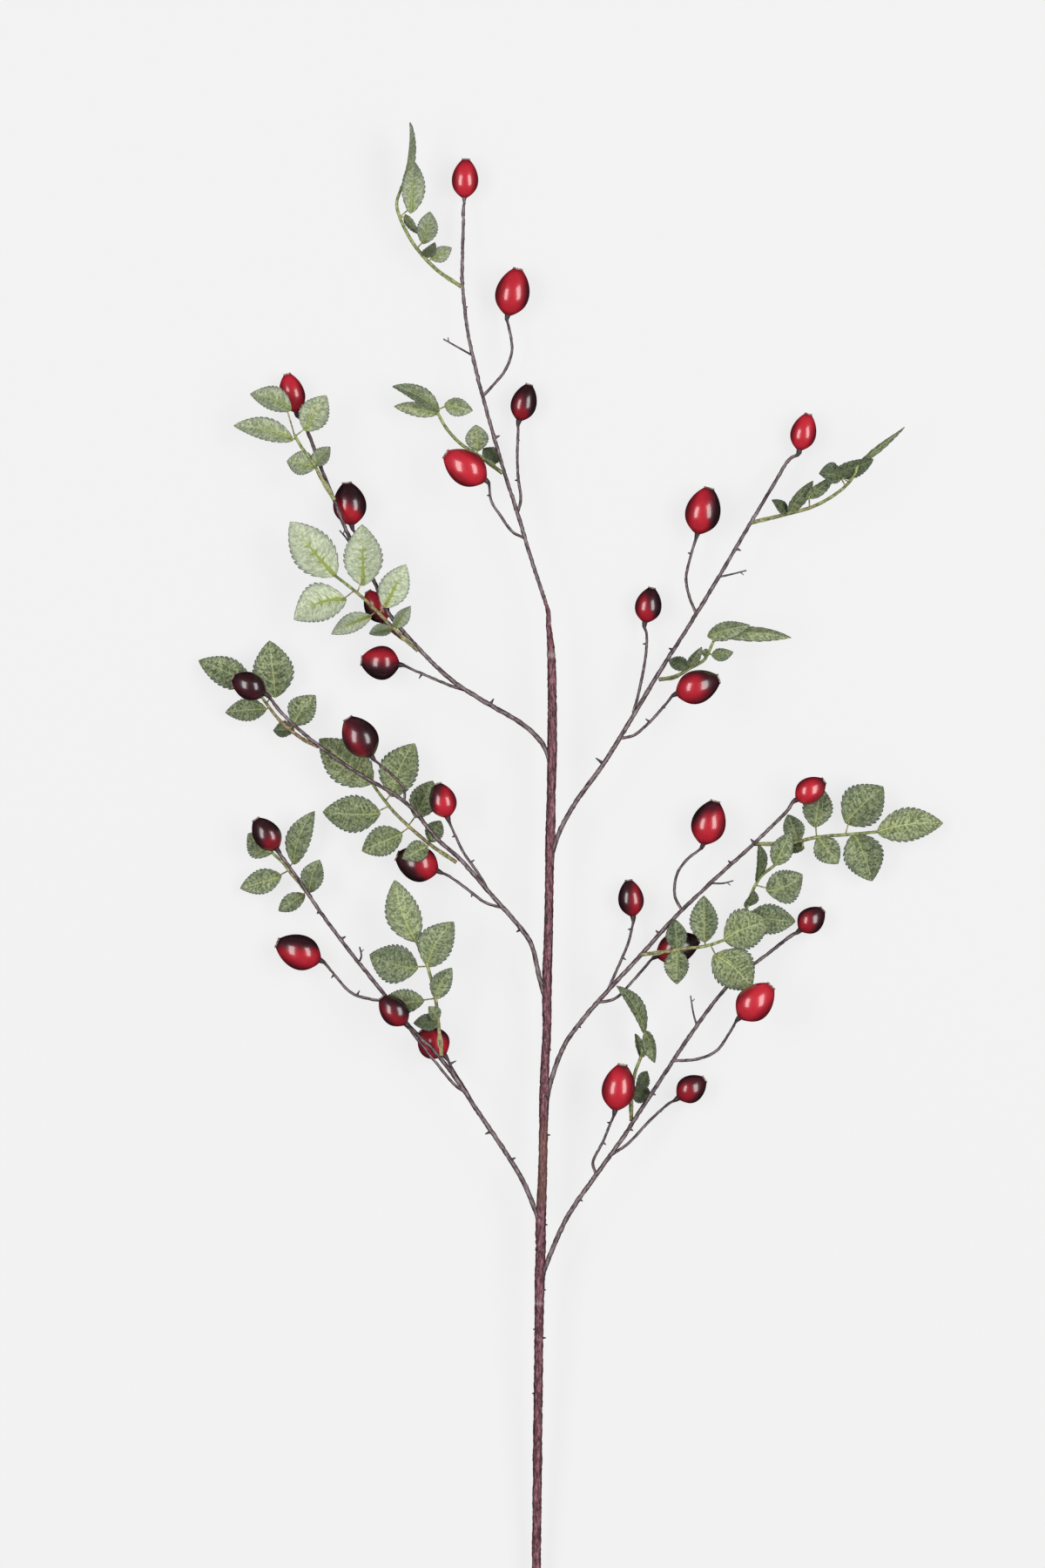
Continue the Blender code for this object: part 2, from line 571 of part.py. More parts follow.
def blade(base, tip, width, roll, bow):
    """One leaflet: a folded and bowed sheet with forward-pointing teeth, given its thickness."""
    length = (tip - base).length
    teeth = 4 if width > 16 else 3 if width > 11 else 2
    bm = bmesh.new()
    ribs = [0.0]
    sides = []
    for k in range(teeth):
        tooth = (k + 0.72) / (teeth + 0.35)
        notch = (k + 1.0) / (teeth + 0.35)
        sides.append((tooth, half_width(tooth) * 1.1 + 0.04))
        sides.append((notch, half_width(notch) * 0.84))
        ribs.append(notch)
    ribs.append(1.0)

    def spot(t, across):
        rise = BLADE_FOLD * abs(across) * width * MM - BLADE_THICKNESS / 2 * MM
        sideways = across * width / 2 + 4 * t * (1 - t) * bow
        return bm.verts.new((t * length, sideways * MM, rise))

    middle = [spot(t, 0.0) for t in ribs]
    for sign in (1, -1):
        edge = [spot(t, sign * across) for t, across in sides]
        for k in range(teeth):
            start = middle[0] if k == 0 else edge[2 * k - 1]
            if k:
                bm.faces.new((middle[k], start, edge[2 * k]))
            bm.faces.new((middle[k], edge[2 * k], edge[2 * k + 1]))
            bm.faces.new((middle[k], edge[2 * k + 1], middle[k + 1]))
        bm.faces.new((middle[teeth], edge[-1], middle[teeth + 1]))
    sheet = list(bm.faces)
    raised = bmesh.ops.extrude_face_region(bm, geom=sheet, use_keep_orig=True)["geom"]
    lifted = [v for v in raised if isinstance(v, bmesh.types.BMVert)]
    bmesh.ops.translate(bm, verts=lifted, vec=(0, 0, BLADE_THICKNESS * MM))
    bmesh.ops.recalc_face_normals(bm, faces=bm.faces)
    along = (tip - base).normalized()
    across = Vector((0, 0, 1)).cross(along).normalized()
    across = Matrix.Rotation(math.radians(roll), 3, along) @ across
    up = along.cross(across)
    turn = Matrix((along, across, up)).transposed().to_4x4()
    bmesh.ops.transform(bm, verts=bm.verts, matrix=Matrix.Translation(base) @ turn)
    mesh = bpy.data.meshes.new("blade")
    bm.to_mesh(mesh)
    bm.free()
    return linked("blade", mesh)


def leaf(name, layout, wood_cutter, look):
    """A compound leaf: its rachis with the leaflets' short stalks and blades fused to it."""
    rachis = smooth_path([place(*spot) for spot in layout["rachis"]], RACHIS_STEP)
    body = tube(rachis, tapered(rachis, *RACHIS_RADIUS), 0)
    fine = smooth_path(rachis, 0.5 * MM)
    pieces = []
    for base_x, base_y, tip_x, tip_y, width, base_height, tip_height, roll, bow in layout["leaflets"]:
        base = place(base_x, base_y, base_height)
        tip = place(tip_x, tip_y, tip_height)
        root = min(fine, key=lambda spot: (spot - base).length)
        if (base - root).length < NO_STALK * MM:
            base = root - (tip - root).normalized() * BLADE_SUNK * MM
        else:
            inside = base + (tip - base) * 0.2
            pieces.append(spike(root, inside, LEAFLET_STALK_RADIUS, LEAFLET_STALK_RADIUS, 3))
        pieces.append(blade(base, tip, width, roll, bow))
    boolean(body, pieces, "UNION")
    boolean(body, [wood_cutter], "DIFFERENCE")
    return finished(body, name, look)


def main():
    cleared_scene()
    random.seed(7)
    bark = material("bark", (0.105, 0.052, 0.055), 0.6)
    skin = material("ripe_skin", (0.45, 0.012, 0.02), 0.22)
    foliage = material("foliage", (0.16, 0.25, 0.11), 0.55)

    stem, stem_radii = main_stem_course()
    wood = tube(stem, stem_radii, 2)
    woody_stem(wood, stem, "t", MAIN_THORNS, [LEADER_TWIG])
    finished(wood, "main_stem", bark)

    courses = {"t": (stem, stem_radii)}
    for letter, shoot in SHOOTS.items():
        path, radii = courses[letter] = shoot_course(letter, shoot)
        wood = tube(path, radii)
        woody_stem(wood, path, letter, shoot["thorns"], shoot["twigs"])
        boolean(wood, [fat_stick(stem, stem_radii)], "DIFFERENCE")
        finished(wood, "shoot_" + letter, bark)

    for name, layout in HIPS.items():
        hip("hip_" + name, layout, skin)
    for name, layout in LEAVES.items():
        leaf("leaf_" + name, layout, fat_stick(*courses[name[0]]), foliage)


main()
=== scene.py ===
import math
import random

import bmesh
import bpy
from mathutils import Matrix, Vector, noise


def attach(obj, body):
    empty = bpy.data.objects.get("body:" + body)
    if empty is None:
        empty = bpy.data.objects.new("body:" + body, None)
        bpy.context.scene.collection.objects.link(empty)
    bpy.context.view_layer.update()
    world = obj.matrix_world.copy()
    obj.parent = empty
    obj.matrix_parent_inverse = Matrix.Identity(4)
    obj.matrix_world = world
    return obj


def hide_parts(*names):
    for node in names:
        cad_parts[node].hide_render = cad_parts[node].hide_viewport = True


# The sprig as the photo shows it from straight above: wrapped wood, glossy hips and veined leaves.
# Places are points of the photo, heights and sizes are mm, and the layout is the one of the frame.

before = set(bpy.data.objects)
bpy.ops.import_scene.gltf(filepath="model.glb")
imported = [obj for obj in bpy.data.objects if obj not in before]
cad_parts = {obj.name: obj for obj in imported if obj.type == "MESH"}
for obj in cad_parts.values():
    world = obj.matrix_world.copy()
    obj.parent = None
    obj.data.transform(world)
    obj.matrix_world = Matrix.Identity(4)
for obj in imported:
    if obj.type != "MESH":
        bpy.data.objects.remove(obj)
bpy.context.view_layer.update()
random.seed(11)

mm = 0.001
photo = {"point": 0.5 * mm, "middle": (656, 1040), "centre": (600, 900), "plane": 20 * mm}

mainStem = [  # photo x, photo y, height and radius in mm, from the cut end to the tip
    (616, 1940, 2.7, 2.7), (616, 1800, 8.0, 2.6), (617, 1700, 11.5, 2.6), (618, 1600, 15.0, 2.6),
    (619, 1520, 17.6, 2.6), (620, 1462, 19.0, 3.0), (621, 1430, 19.6, 2.7), (621, 1402, 20.0, 3.0),
    (623, 1350, 20.0, 2.6), (624, 1300, 20.0, 2.5), (625, 1256, 20.0, 2.9), (626, 1220, 20.0, 2.5),
    (628, 1180, 20.0, 2.5), (628, 1130, 20.0, 2.9), (630, 1060, 20.0, 2.5), (631, 1000, 20.0, 2.5),
    (632, 958, 20.0, 2.9), (633, 910, 20.0, 2.5), (634, 862, 20.0, 2.9), (634, 800, 20.0, 2.6),
    (633, 752, 20.0, 2.4), (630, 718, 19.6, 1.5), (628, 697, 19.4, 1.15), (611, 645, 19.0, 1.1),
    (595, 592, 18.5, 1.15), (580, 545, 18.0, 1.1), (566, 497, 17.5, 1.05), (549, 435, 16.5, 1.05),
    (537, 380, 15.5, 1.0), (531, 325, 14.5, 1.0), (531, 290, 13.0, 0.95), (532, 262, 10.5, 0.9),
    (532, 240, 8.3, 0.85),
]
mainThorns = [
    (611, 1600), (612, 1526), (627, 1536), (627, 1481), (629, 1406), (632, 1303), (633, 1205),
    (537, 352), (574, 500), (559, 569), (591, 551), (597, 505),
]
leaderTwig = [(541, 407, 15.8), (525, 398, 17.0), (509, 389, 17.5)]
shoots = {  # wood and twigs as photo x, photo y and height; thorns as photo places of their tips
    "a": {
        "wood": [
            (632, 874, 20), (621, 851, 20.5), (598, 830, 20.5), (554, 804, 20), (519, 781, 20),
            (485, 749, 20), (447, 705, 20), (430, 668, 20), (402, 618, 20.5), (384, 575, 20.5),
            (366, 530, 17), (355, 500, 12), (345, 480, 8.5),
        ],
        "twigs": [[(403, 626, 20.5), (397, 617, 21.5), (390, 609, 23)]],
        "thorns": [(567, 802), (481, 779), (508, 775)],
    },
    "b": {
        "wood": [
            (628, 1152, 20), (620, 1125, 20.5), (610, 1084, 20.5), (590, 1056, 20), (565, 1028, 20),
            (530, 988, 20), (502, 963, 20.5), (475, 930, 20.5), (450, 910, 20.5), (420, 893, 20.5),
            (385, 870, 20.5), (351, 844, 20.5), (324, 819, 20.5),
        ],
        "twigs": [],
        "thorns": [(593, 1070), (545, 987), (541, 1030), (519, 961)],
    },
    "c": {
        "wood": [
            (621, 1408, 20), (613, 1385, 20.5), (600, 1355, 20.5), (580, 1322, 20), (548, 1275, 20),
            (525, 1240, 21.5), (500, 1208, 22.5), (470, 1178, 21.5), (440, 1140, 21), (404, 1095, 21),
            (370, 1050, 20.5), (343, 1010, 19.5), (321, 980, 18.5),
        ],
        "twigs": [[(413, 1103, 21), (415, 1097, 22), (413, 1087, 24)]],
        "thorns": [
            (557, 1302), (592, 1329), (397, 1075), (524, 1218), (380, 1123), (413, 1137), (364, 1049),
        ],
    },
    "d": {
        "wood": [
            (632, 986, 20), (642, 956, 20.5), (661, 921, 20.5), (693, 877, 21), (722, 830, 21),
            (755, 775, 21), (790, 720, 20), (825, 663, 19), (855, 612, 17), (885, 562, 13), (905, 529, 8.5),
        ],
        "twigs": [[(827, 662, 19), (841, 659, 20), (857, 655, 21.5)]],
        "thorns": [
            (768, 744), (684, 870), (738, 739), (738, 784), (764, 813), (741, 825), (851, 632), (790, 668),
            (790, 634),
        ],
    },
    "e": {
        "wood": [
            (626, 1272, 20), (633, 1240, 20.5), (648, 1200, 20.5), (672, 1167, 20), (701, 1134, 20),
            (739, 1093, 20), (775, 1053, 20), (822, 1008, 20), (862, 972, 19.5), (891, 944, 19),
            (903, 932, 18),
        ],
        "twigs": [[(818, 1014, 20), (830, 1014, 21), (842, 1011, 22)]],
        "thorns": [(667, 1180), (753, 1068), (721, 1067), (862, 963), (836, 988), (719, 1102)],
    },
    "f": {
        "wood": [
            (620, 1476, 18.8), (628, 1450, 19.5), (651, 1398, 20), (683, 1351, 20), (714, 1308, 20),
            (732, 1280, 19.5), (765, 1230, 18), (800, 1178, 16), (838, 1130, 14), (886, 1092, 11),
            (911, 1073, 8.2),
        ],
        "twigs": [[(800, 1177, 16), (796, 1162, 17), (793, 1143, 17.5)]],
        "thorns": [
            (669, 1379), (654, 1397), (697, 1288), (696, 1314), (760, 1277), (727, 1298), (753, 1257),
        ],
    },
}
hips = {  # photo places of the stalk's end and the tip, width and height in mm, the stalk's way
    "t1": {"base": (533, 226), "tip": (535, 181), "width": 15.5, "height": 0},
    "t2": {"base": (583, 361), "tip": (595, 307), "width": 20, "height": 0,
           "stalk": [(554, 455), (568, 440), (581, 423), (588, 400), (584, 374)]},
    "t3": {"base": (596, 482), "tip": (608, 440), "width": 15, "height": 0,
           "stalk": [(594, 590), (598, 572), (595, 548), (594, 520), (595, 494)]},
    "t4": {"base": (557, 552), "tip": (511, 521), "width": 20.5, "height": 28,
           "stalk": [(603, 618), (588, 610), (574, 591), (564, 575)]},
    "a1": {"base": (340, 472), "tip": (329, 428), "width": 15, "height": 0},
    "a2": {"base": (404, 602), "tip": (398, 553), "width": 19.5, "height": 0,
           "stalk": [(427, 661), (423, 640), (415, 621)]},
    "a3": {"base": (441, 714), "tip": (422, 678), "width": 14, "height": 0,
           "stalk": [(478, 741), (466, 736), (452, 726)]},
    "a4": {"base": (458, 763), "tip": (414, 758), "width": 20, "height": 0,
           "stalk": [(540, 794), (520, 788), (498, 779), (475, 769)]},
    "b1": {"base": (304, 797), "tip": (267, 777), "width": 16.5, "height": 20.5},
    "b2": {"base": (427, 868), "tip": (399, 824), "width": 20.5, "height": 27,
           "stalk": [(464, 922), (464, 906), (453, 892), (438, 879)]},
    "b3": {"base": (514, 938), "tip": (502, 899), "width": 16, "height": 22,
           "stalk": [(560, 1021), (550, 1004), (532, 978), (521, 955)]},
    "b4": {"base": (502, 1000), "tip": (455, 982), "width": 21, "height": 0,
           "stalk": [(577, 1042), (557, 1036), (538, 1022), (519, 1008)]},
    "c1": {"base": (318, 975), "tip": (293, 940), "width": 16, "height": 18},
    "c2": {"base": (367, 1103), "tip": (317, 1082), "width": 20.5, "height": 0,
           "stalk": [(446, 1149), (425, 1147), (402, 1139), (382, 1117)]},
    "c3": {"base": (466, 1175), "tip": (438, 1144), "width": 16, "height": 31.5,
           "stalk": [(534, 1254), (520, 1243), (501, 1220), (481, 1195)]},
    "c4": {"base": (510, 1212), "tip": (484, 1182), "width": 19, "height": 0,
           "stalk": [(546, 1272), (535, 1252), (521, 1230)]},
    "d1": {"base": (918, 516), "tip": (929, 474), "width": 15, "height": 0},
    "d2": {"base": (801, 612), "tip": (815, 559), "width": 20.5, "height": 0,
           "stalk": [(799, 704), (791, 683), (788, 662), (794, 636)]},
    "d3": {"base": (741, 714), "tip": (749, 674), "width": 15.5, "height": 0,
           "stalk": [(727, 818), (733, 797), (741, 757), (743, 730)]},
    "d4": {"base": (777, 797), "tip": (826, 779), "width": 19.5, "height": 30,
           "stalk": [(709, 848), (728, 844), (746, 829), (763, 810)]},
    "e1": {"base": (915, 918), "tip": (947, 896), "width": 15.5, "height": 18},
    "e2": {"base": (807, 969), "tip": (822, 919), "width": 20, "height": 0,
           "stalk": [(783, 1045), (775, 1028), (777, 1005), (789, 987)]},
    "e3": {"base": (727, 1052), "tip": (722, 1010), "width": 15, "height": 0,
           "stalk": [(699, 1134), (709, 1112), (721, 1084), (726, 1065)]},
    "e4": {"base": (755, 1098), "tip": (803, 1078), "width": 18.5, "height": 0,
           "stalk": [(685, 1151), (707, 1146), (727, 1126), (742, 1109)]},
    "f1": {"base": (919, 1068), "tip": (946, 1044), "width": 15, "height": 0},
    "f2": {"base": (849, 1168), "tip": (886, 1131), "width": 20.5, "height": 27.5,
           "stalk": [(774, 1218), (800, 1216), (823, 1206), (839, 1183)]},
    "f3": {"base": (779, 1261), "tip": (810, 1239), "width": 16, "height": 0,
           "stalk": [(699, 1328), (722, 1312), (746, 1287), (766, 1269)]},
    "f4": {"base": (706, 1274), "tip": (715, 1221), "width": 19.5, "height": 28,
           "stalk": [(684, 1347), (681, 1333), (692, 1311), (701, 1289)]},
}
leaves = {  # the rachis; leaflets as base, tip, width, heights of base and tip, roll, bow to the left
    "t1": {
        "rachis": [(530, 329, 14.5), (500, 308, 15), (473, 277, 17), (456, 239, 18), (461, 214, 18)],
        "leaflets": [
            (494, 297, 519, 284, 9, 16, 12, 20, 0), (489, 293, 500, 279, 8, 16, 22, 35, 0),
            (486, 280, 494, 242, 12, 16, 13, 15, 0), (465, 246, 481, 268, 7, 18, 13, 45, 0),
            (472, 245, 474, 182, 14, 18, 14, 20, 0), (464, 211, 472, 141, 15, 18, 24, 75, -0.5),
        ],
    },
    "t2": {
        "rachis": [(577, 543, 17.5), (553, 525, 14), (530, 510, 13), (513, 492, 14), (501, 471, 15)],
        "leaflets": [
            (572, 531, 555, 514, 10.5, 15, 11, 10, 0), (549, 518, 546, 487, 13, 14, 12, 0, 0),
            (510, 464, 543, 471, 10.5, 14, 16, 0, 0), (502, 476, 452, 466, 8.5, 14, 9, -20, -1),
            (505, 472, 451, 443, 12.5, 15, 20, 40, -2),
        ],
    },
    "a1": {
        "rachis": [(384, 574, 22), (370, 551, 22.5), (360, 532, 22), (346, 513, 21), (338, 499, 20.5)],
        "leaflets": [
            (361, 537, 329, 529, 14, 22, 18, 10, 0), (362, 533, 379, 513, 10, 22, 24, -10, 0),
            (350, 495, 375, 454, 17, 21, 22, 10, 1), (335, 471, 287, 452, 14, 24, 22, 15, -2),
            (337, 505, 268, 488, 13, 20.5, 16, 10, -2),
        ],
    },
    "a2": {
        "rachis": [(480, 747, 20), (462, 731, 22), (437, 706, 23), (413, 683, 24), (385, 661, 24)],
        "leaflets": [
            (453, 722, 472, 696, 9, 23, 26, 30, 1), (450, 723, 424, 727, 9, 23, 24, 35, 0),
            (427, 707, 380, 728, 11, 23, 20, 15, -0.5), (441, 698, 466, 648, 17, 23.5, 25, -10, -0.5),
            (398, 688, 337, 711, 22, 24, 20, 10, -3.5), (417, 673, 416, 602, 22, 24, 25, 5, 0),
            (385, 661, 333, 599, 24, 24, 21, -5, 0.5),
        ],
    },
    "b1": {
        "rachis": [(365, 857, 18.5), (344, 846, 13), (320, 826, 9), (300, 800, 8), (288, 787, 8)],
        "leaflets": [
            (337, 832, 362, 798, 16, 10, 12, 0, 1.5), (338, 838, 313, 838, 10, 10, 6, 20, 0),
            (316, 801, 309, 735, 23, 8, 8, 5, 0), (306, 814, 258, 818, 13, 8, 5, 5, -0.5),
            (288, 785, 227, 758, 17, 8, 6, -5, -1.2),
        ],
    },
    "b2": {
        "rachis": [(524, 990, 18.5), (492, 968, 16), (458, 938, 13), (440, 917, 12), (427, 899, 12)],
        "leaflets": [
            (491, 971, 462, 986, 12, 18, 27, 0, 0), (494, 967, 506, 942, 11, 15, 12, 10, 1),
            (462, 957, 415, 977, 17, 15, 12, 10, 0), (477, 939, 497, 896, 16, 14, 8, 0, 0),
            (437, 934, 370, 932, 21, 12, 8, 5, 1), (449, 915, 476, 853, 22, 12, 8, -5, 2),
            (425, 898, 366, 848, 24, 12, 10, 0, 0.5),
        ],
    },
    "c1": {
        "rachis": [(357, 1030, 18.5), (345, 1015, 13), (335, 1004, 10), (325, 991, 8), (312, 979, 7)],
        "leaflets": [
            (355, 1025, 367, 987, 13, 14, 11, 5, 1.5), (350, 1027, 319, 1046, 10, 14, 9, 10, 0),
            (337, 993, 361, 931, 14, 9, 10, 0, 3), (323, 1005, 275, 1020, 14, 9, 6, 10, 0.5),
            (311, 981, 284, 957, 16, 7, 6, 0, 1),
        ],
    },
    "c2": {
        "rachis": [(507, 1212, 24), (504, 1180, 24), (500, 1146, 22), (490, 1106, 20), (478, 1081, 19)],
        "leaflets": [
            (503, 1175, 475, 1174, 10, 24, 26, 15, 0), (503, 1171, 493, 1155, 8, 24, 27, 25, 0),
            (500, 1147, 519, 1111, 12, 22, 24, 5, 1.5), (487, 1149, 441, 1146, 14, 21.5, 15, 10, 1.5),
            (490, 1110, 521, 1058, 20, 20, 22, -5, 2.5), (480, 1112, 424, 1096, 22, 20, 15, 5, 1.5),
            (477, 1081, 453, 1010, 19.5, 19, 17, 0, 2),
        ],
    },
    "d1": {
        "rachis": [
            (862, 600, 16), (900, 591, 19), (935, 581, 22), (964, 564, 24), (980, 547, 25), (985, 533, 25),
        ],
        "leaflets": [
            (904, 589, 886, 574, 8, 20, 26, 40, 0), (906, 588, 934, 553, 10, 20, 26, 40, 2),
            (925, 572, 957, 547, 9, 24, 27, 40, 0), (967, 547, 940, 544, 14, 26, 30, 35, 0),
            (956, 544, 1003, 528, 13, 26, 24, 40, 0), (985, 530, 1039, 491, 5.5, 25, 22, 50, 1),
        ],
    },
    "d2": {
        "rachis": [(757, 780, 21), (775, 777, 18), (792, 767, 16.5), (809, 757, 17), (819, 737, 18)],
        "leaflets": [
            (791, 767, 768, 758, 9, 18, 13, 20, 0), (792, 767, 806, 743, 7, 18, 22, 30, 1),
            (817, 752, 842, 749, 8, 17, 20, 20, 0), (814, 751, 805, 749, 5, 17, 18, 20, 0),
            (812, 731, 861, 718, 11, 18, 26, 20, 1.2), (821, 729, 909, 733, 10, 18, 14, 35, 3.5),
        ],
    },
    "e1": {
        "rachis": [(866, 969, 18), (905, 968, 14), (940, 961, 11), (975, 958, 10), (1008, 955, 10)],
        "leaflets": [
            (918, 966, 905, 935, 12, 13, 8, 10, 0), (924, 973, 905, 973, 8, 13, 9, 20, 0),
            (936, 950, 943, 903, 17, 11, 7, 0, 0), (940, 963, 963, 992, 15, 11, 9, 10, 0),
            (971, 945, 1015, 903, 24.5, 10, 9, 0, 0.8), (982, 960, 1002, 1012, 22.5, 10, 8, 5, 1.2),
            (1008, 954, 1084, 945, 19, 10, 7, 0, 2),
        ],
    },
    "e2": {
        "rachis": [(735, 1096, 20), (760, 1093, 22.5), (785, 1089, 23), (810, 1086, 22), (832, 1079, 21)],
        "leaflets": [
            (777, 1088, 775, 1055, 12, 23, 21, 5, 0), (777, 1091, 777, 1130, 14, 23, 22, 5, 0),
            (809, 1082, 808, 1028, 16, 22, 22, -5, 0), (819, 1096, 863, 1136, 24, 21.5, 17.5, 0, 2.5),
            (832, 1079, 884, 1059, 23, 21, 20, 0, 2),
        ],
    },
    "f1": {
        "rachis": [(838, 1128, 13), (847, 1085, 13), (858, 1041, 14), (871, 1010, 15), (890, 993, 15)],
        "leaflets": [
            (860, 1051, 914, 1058, 17, 14, 13, 0, -0.5), (860, 1042, 865, 1022, 10, 14, 22, 50, 0),
            (880, 1023, 922, 1004, 19.5, 15, 14, 5, -2), (870, 1012, 872, 970, 13, 15, 24, 60, 0),
            (892, 993, 908, 955, 12.5, 15, 17, 0, 0),
        ],
    },
    "f2": {
        "rachis": [(725, 1287, 17), (725, 1262, 15.5), (729, 1233, 15.5), (737, 1210, 17), (741, 1184, 18)],
        "leaflets": [
            (731, 1250, 744, 1230, 9, 15.5, 10, 30, 0), (728, 1253, 748, 1259, 11, 15.5, 12, 10, 0),
            (741, 1182, 751, 1220, 10, 18, 25, 40, 1.5), (736, 1213, 730, 1187, 11, 17, 8, 60, 0),
            (741, 1186, 709, 1131, 13, 18, 22, 50, -2.8),
        ],
    },
}


def place(x, y, height):
    # where a point of the photo lies, at a height in mm
    across = (x - photo["middle"][0]) * photo["point"]
    up = (photo["middle"][1] - y) * photo["point"]
    return Vector((across, up, height * mm))


def smoothPath(points, step):
    # the smooth curve through the points, with a point about every step
    ends = [points[0] * 2 - points[1], *points, points[-1] * 2 - points[-2]]
    path = [points[0]]
    for before, start, end, after in zip(ends, ends[1:], ends[2:], ends[3:]):
        count = max(1, round((end - start).length / step))
        for i in range(1, count + 1):
            t = i / count
            path.append(0.5 * (
                2 * start
                + (end - before) * t
                + (2 * before - 5 * start + 4 * end - after) * t**2
                + (3 * start - before - 3 * end + after) * t**3
            ))
    return path


def lengthsAlong(path):
    total = [0.0]
    for start, end in zip(path, path[1:]):
        total.append(total[-1] + (end - start).length)
    return total


def nearest(path, point):
    return min(range(len(path)), key=lambda i: (path[i].xy - point.xy).length)


def blended(table, at):
    # the value at a place, from a table of (place, value) rows
    for (a, first), (b, second) in zip(table, table[1:]):
        if at <= b:
            return first + (second - first) * max(0.0, at - a) / (b - a)
    return table[-1][1]


def smoothStep(low, high, value):
    t = min(1.0, max(0.0, (value - low) / (high - low)))
    return t * t * (3 - 2 * t)


def swell(value, middle, spread):
    # a soft bump that is 1 at its middle
    return math.exp(-((value - middle) / spread) ** 2)


def aroundAxis(i, sides):
    return math.tau * (i % sides) / sides


def linear(hexColour):
    # an sRGB hex colour as the linear values that a shader takes
    parts = [int(hexColour[i:i + 2], 16) / 255 for i in (1, 3, 5)]
    return (*[c / 12.92 if c <= 0.04045 else ((c + 0.055) / 1.055) ** 2.4 for c in parts], 1.0)


def newMaterial(name, settings):
    made = bpy.data.materials.new(name)
    made.use_nodes = True
    shader = made.node_tree.nodes["Principled BSDF"]
    for socket, value in settings.items():
        shader.inputs[socket].default_value = value
    return made, made.node_tree, shader


def addNode(tree, kind, inputs=None, **settings):
    # inputs holds a value, or the socket that feeds it, for each socket's name or number
    node = tree.nodes.new("ShaderNode" + kind)
    for name, value in settings.items():
        setattr(node, name, value)
    for name, value in (inputs or {}).items():
        if isinstance(value, bpy.types.NodeSocket):
            tree.links.new(value, node.inputs[name])
        else:
            node.inputs[name].default_value = value
    return node


def mixed(tree, factor, first, second):
    return addNode(tree, "Mix", {0: factor, 6: first, 7: second}, data_type="RGBA").outputs[2]


def washed(tree, base, mask, tint):
    # lays a tint, which is a colour and its strength, over the base where the mask is
    colour, strength = tint
    return mixed(tree, sums(tree, "MULTIPLY", mask, strength), base, linear(colour))


def ramp(tree, factor, stops):
    node = addNode(tree, "ValToRGB", {0: factor})
    elements = node.color_ramp.elements
    for i, (at, colour) in enumerate(stops):
        element = elements[i] if i < 2 else elements.new(at)
        element.position = at
        element.color = linear(colour)
    return node.outputs[0]


def stepUp(tree, value, low, high):
    # 0 up to low and 1 from high on, or the other way round where low is the larger
    node = addNode(tree, "MapRange", {0: value, 1: low, 2: high}, interpolation_type="SMOOTHSTEP")
    return node.outputs[0]


def sums(tree, operation, first, second=0.0):
    return addNode(tree, "Math", {0: first, 1: second}, operation=operation).outputs[0]


def attribute(tree, name, output="Vector"):
    return addNode(tree, "Attribute", attribute_name=name).outputs[output]


def threeValues(tree, name):
    return addNode(tree, "SeparateXYZ", {0: attribute(tree, name)}).outputs


def stretched(tree, name, scale):
    # an attribute's places, scaled along each of their three ways
    return addNode(tree, "Mapping", {0: attribute(tree, name), 3: scale}).outputs[0]


def cloud(tree, where, scale, detail, roughness=0.5):
    inputs = {"Vector": where, "Scale": scale, "Detail": detail, "Roughness": roughness}
    return addNode(tree, "TexNoise", inputs).outputs[0]


def addRelief(tree, shader, height, strength, depth):
    # depth is in mm
    bump = addNode(tree, "Bump", {"Height": height, "Strength": strength, "Distance": depth * mm})
    tree.links.new(bump.outputs[0], shader.inputs["Normal"])


def finished(bm, name, materials, node):
    # turns the shape into a piece that stands for its node
    mesh = bpy.data.meshes.new(name)
    bm.to_mesh(mesh)
    bm.free()
    for material in materials:
        mesh.materials.append(material)
    mesh.shade_smooth()
    obj = bpy.data.objects.new(name, mesh)
    bpy.context.scene.collection.objects.link(obj)
    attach(obj, "root")
    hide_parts(node)
    return obj


def warpedGrid(bm, along, across, spot):
    # a grid whose points move to spot(i, j, point)
    made = bmesh.ops.create_grid(bm, x_segments=along, y_segments=across, size=0.5)["verts"]
    for point in made:
        i = round((point.co.x + 0.5) * along)
        j = round((point.co.y + 0.5) * across)
        point.co = spot(i, j, point)
    return made


def closeSeams(bm, points):
    bmesh.ops.remove_doubles(bm, verts=points, dist=0.001 * mm)


def tube(bm, path, radii, sides, write, rough=0.0, seed=0.0):
    # a round closed stick along a path, with radii in mm, roughened by up to rough mm
    frames = []
    side = None
    for i in range(len(path)):
        ahead = (path[min(i + 1, len(path) - 1)] - path[max(i - 1, 0)]).normalized()
        side = side or ahead.orthogonal()
        side = (side - ahead * side.dot(ahead)).normalized()
        frames.append((side, side.cross(ahead)))
    path = [path[0], *path, path[-1]]
    radii = [0.0, *radii, 0.0]
    frames = [frames[0], *frames, frames[-1]]
    lengths = lengthsAlong(path)

    def spot(i, j, point):
        turn = aroundAxis(j, sides)
        first, second = frames[i]
        out = first * math.cos(turn) + second * math.sin(turn)
        radius = radii[i] * mm
        centre = path[i]
        if rough and radii[i]:
            lump = noise.noise((centre + out * radius) / (woodSizes["lump"] * mm) + Vector((seed, 0, 0)))
            radius += rough * mm * lump
        write(point, i, radii[i] * math.cos(turn), radii[i] * math.sin(turn), lengths[i] / mm)
        return centre + out * radius

    closeSeams(bm, warpedGrid(bm, len(path) - 1, sides, spot))


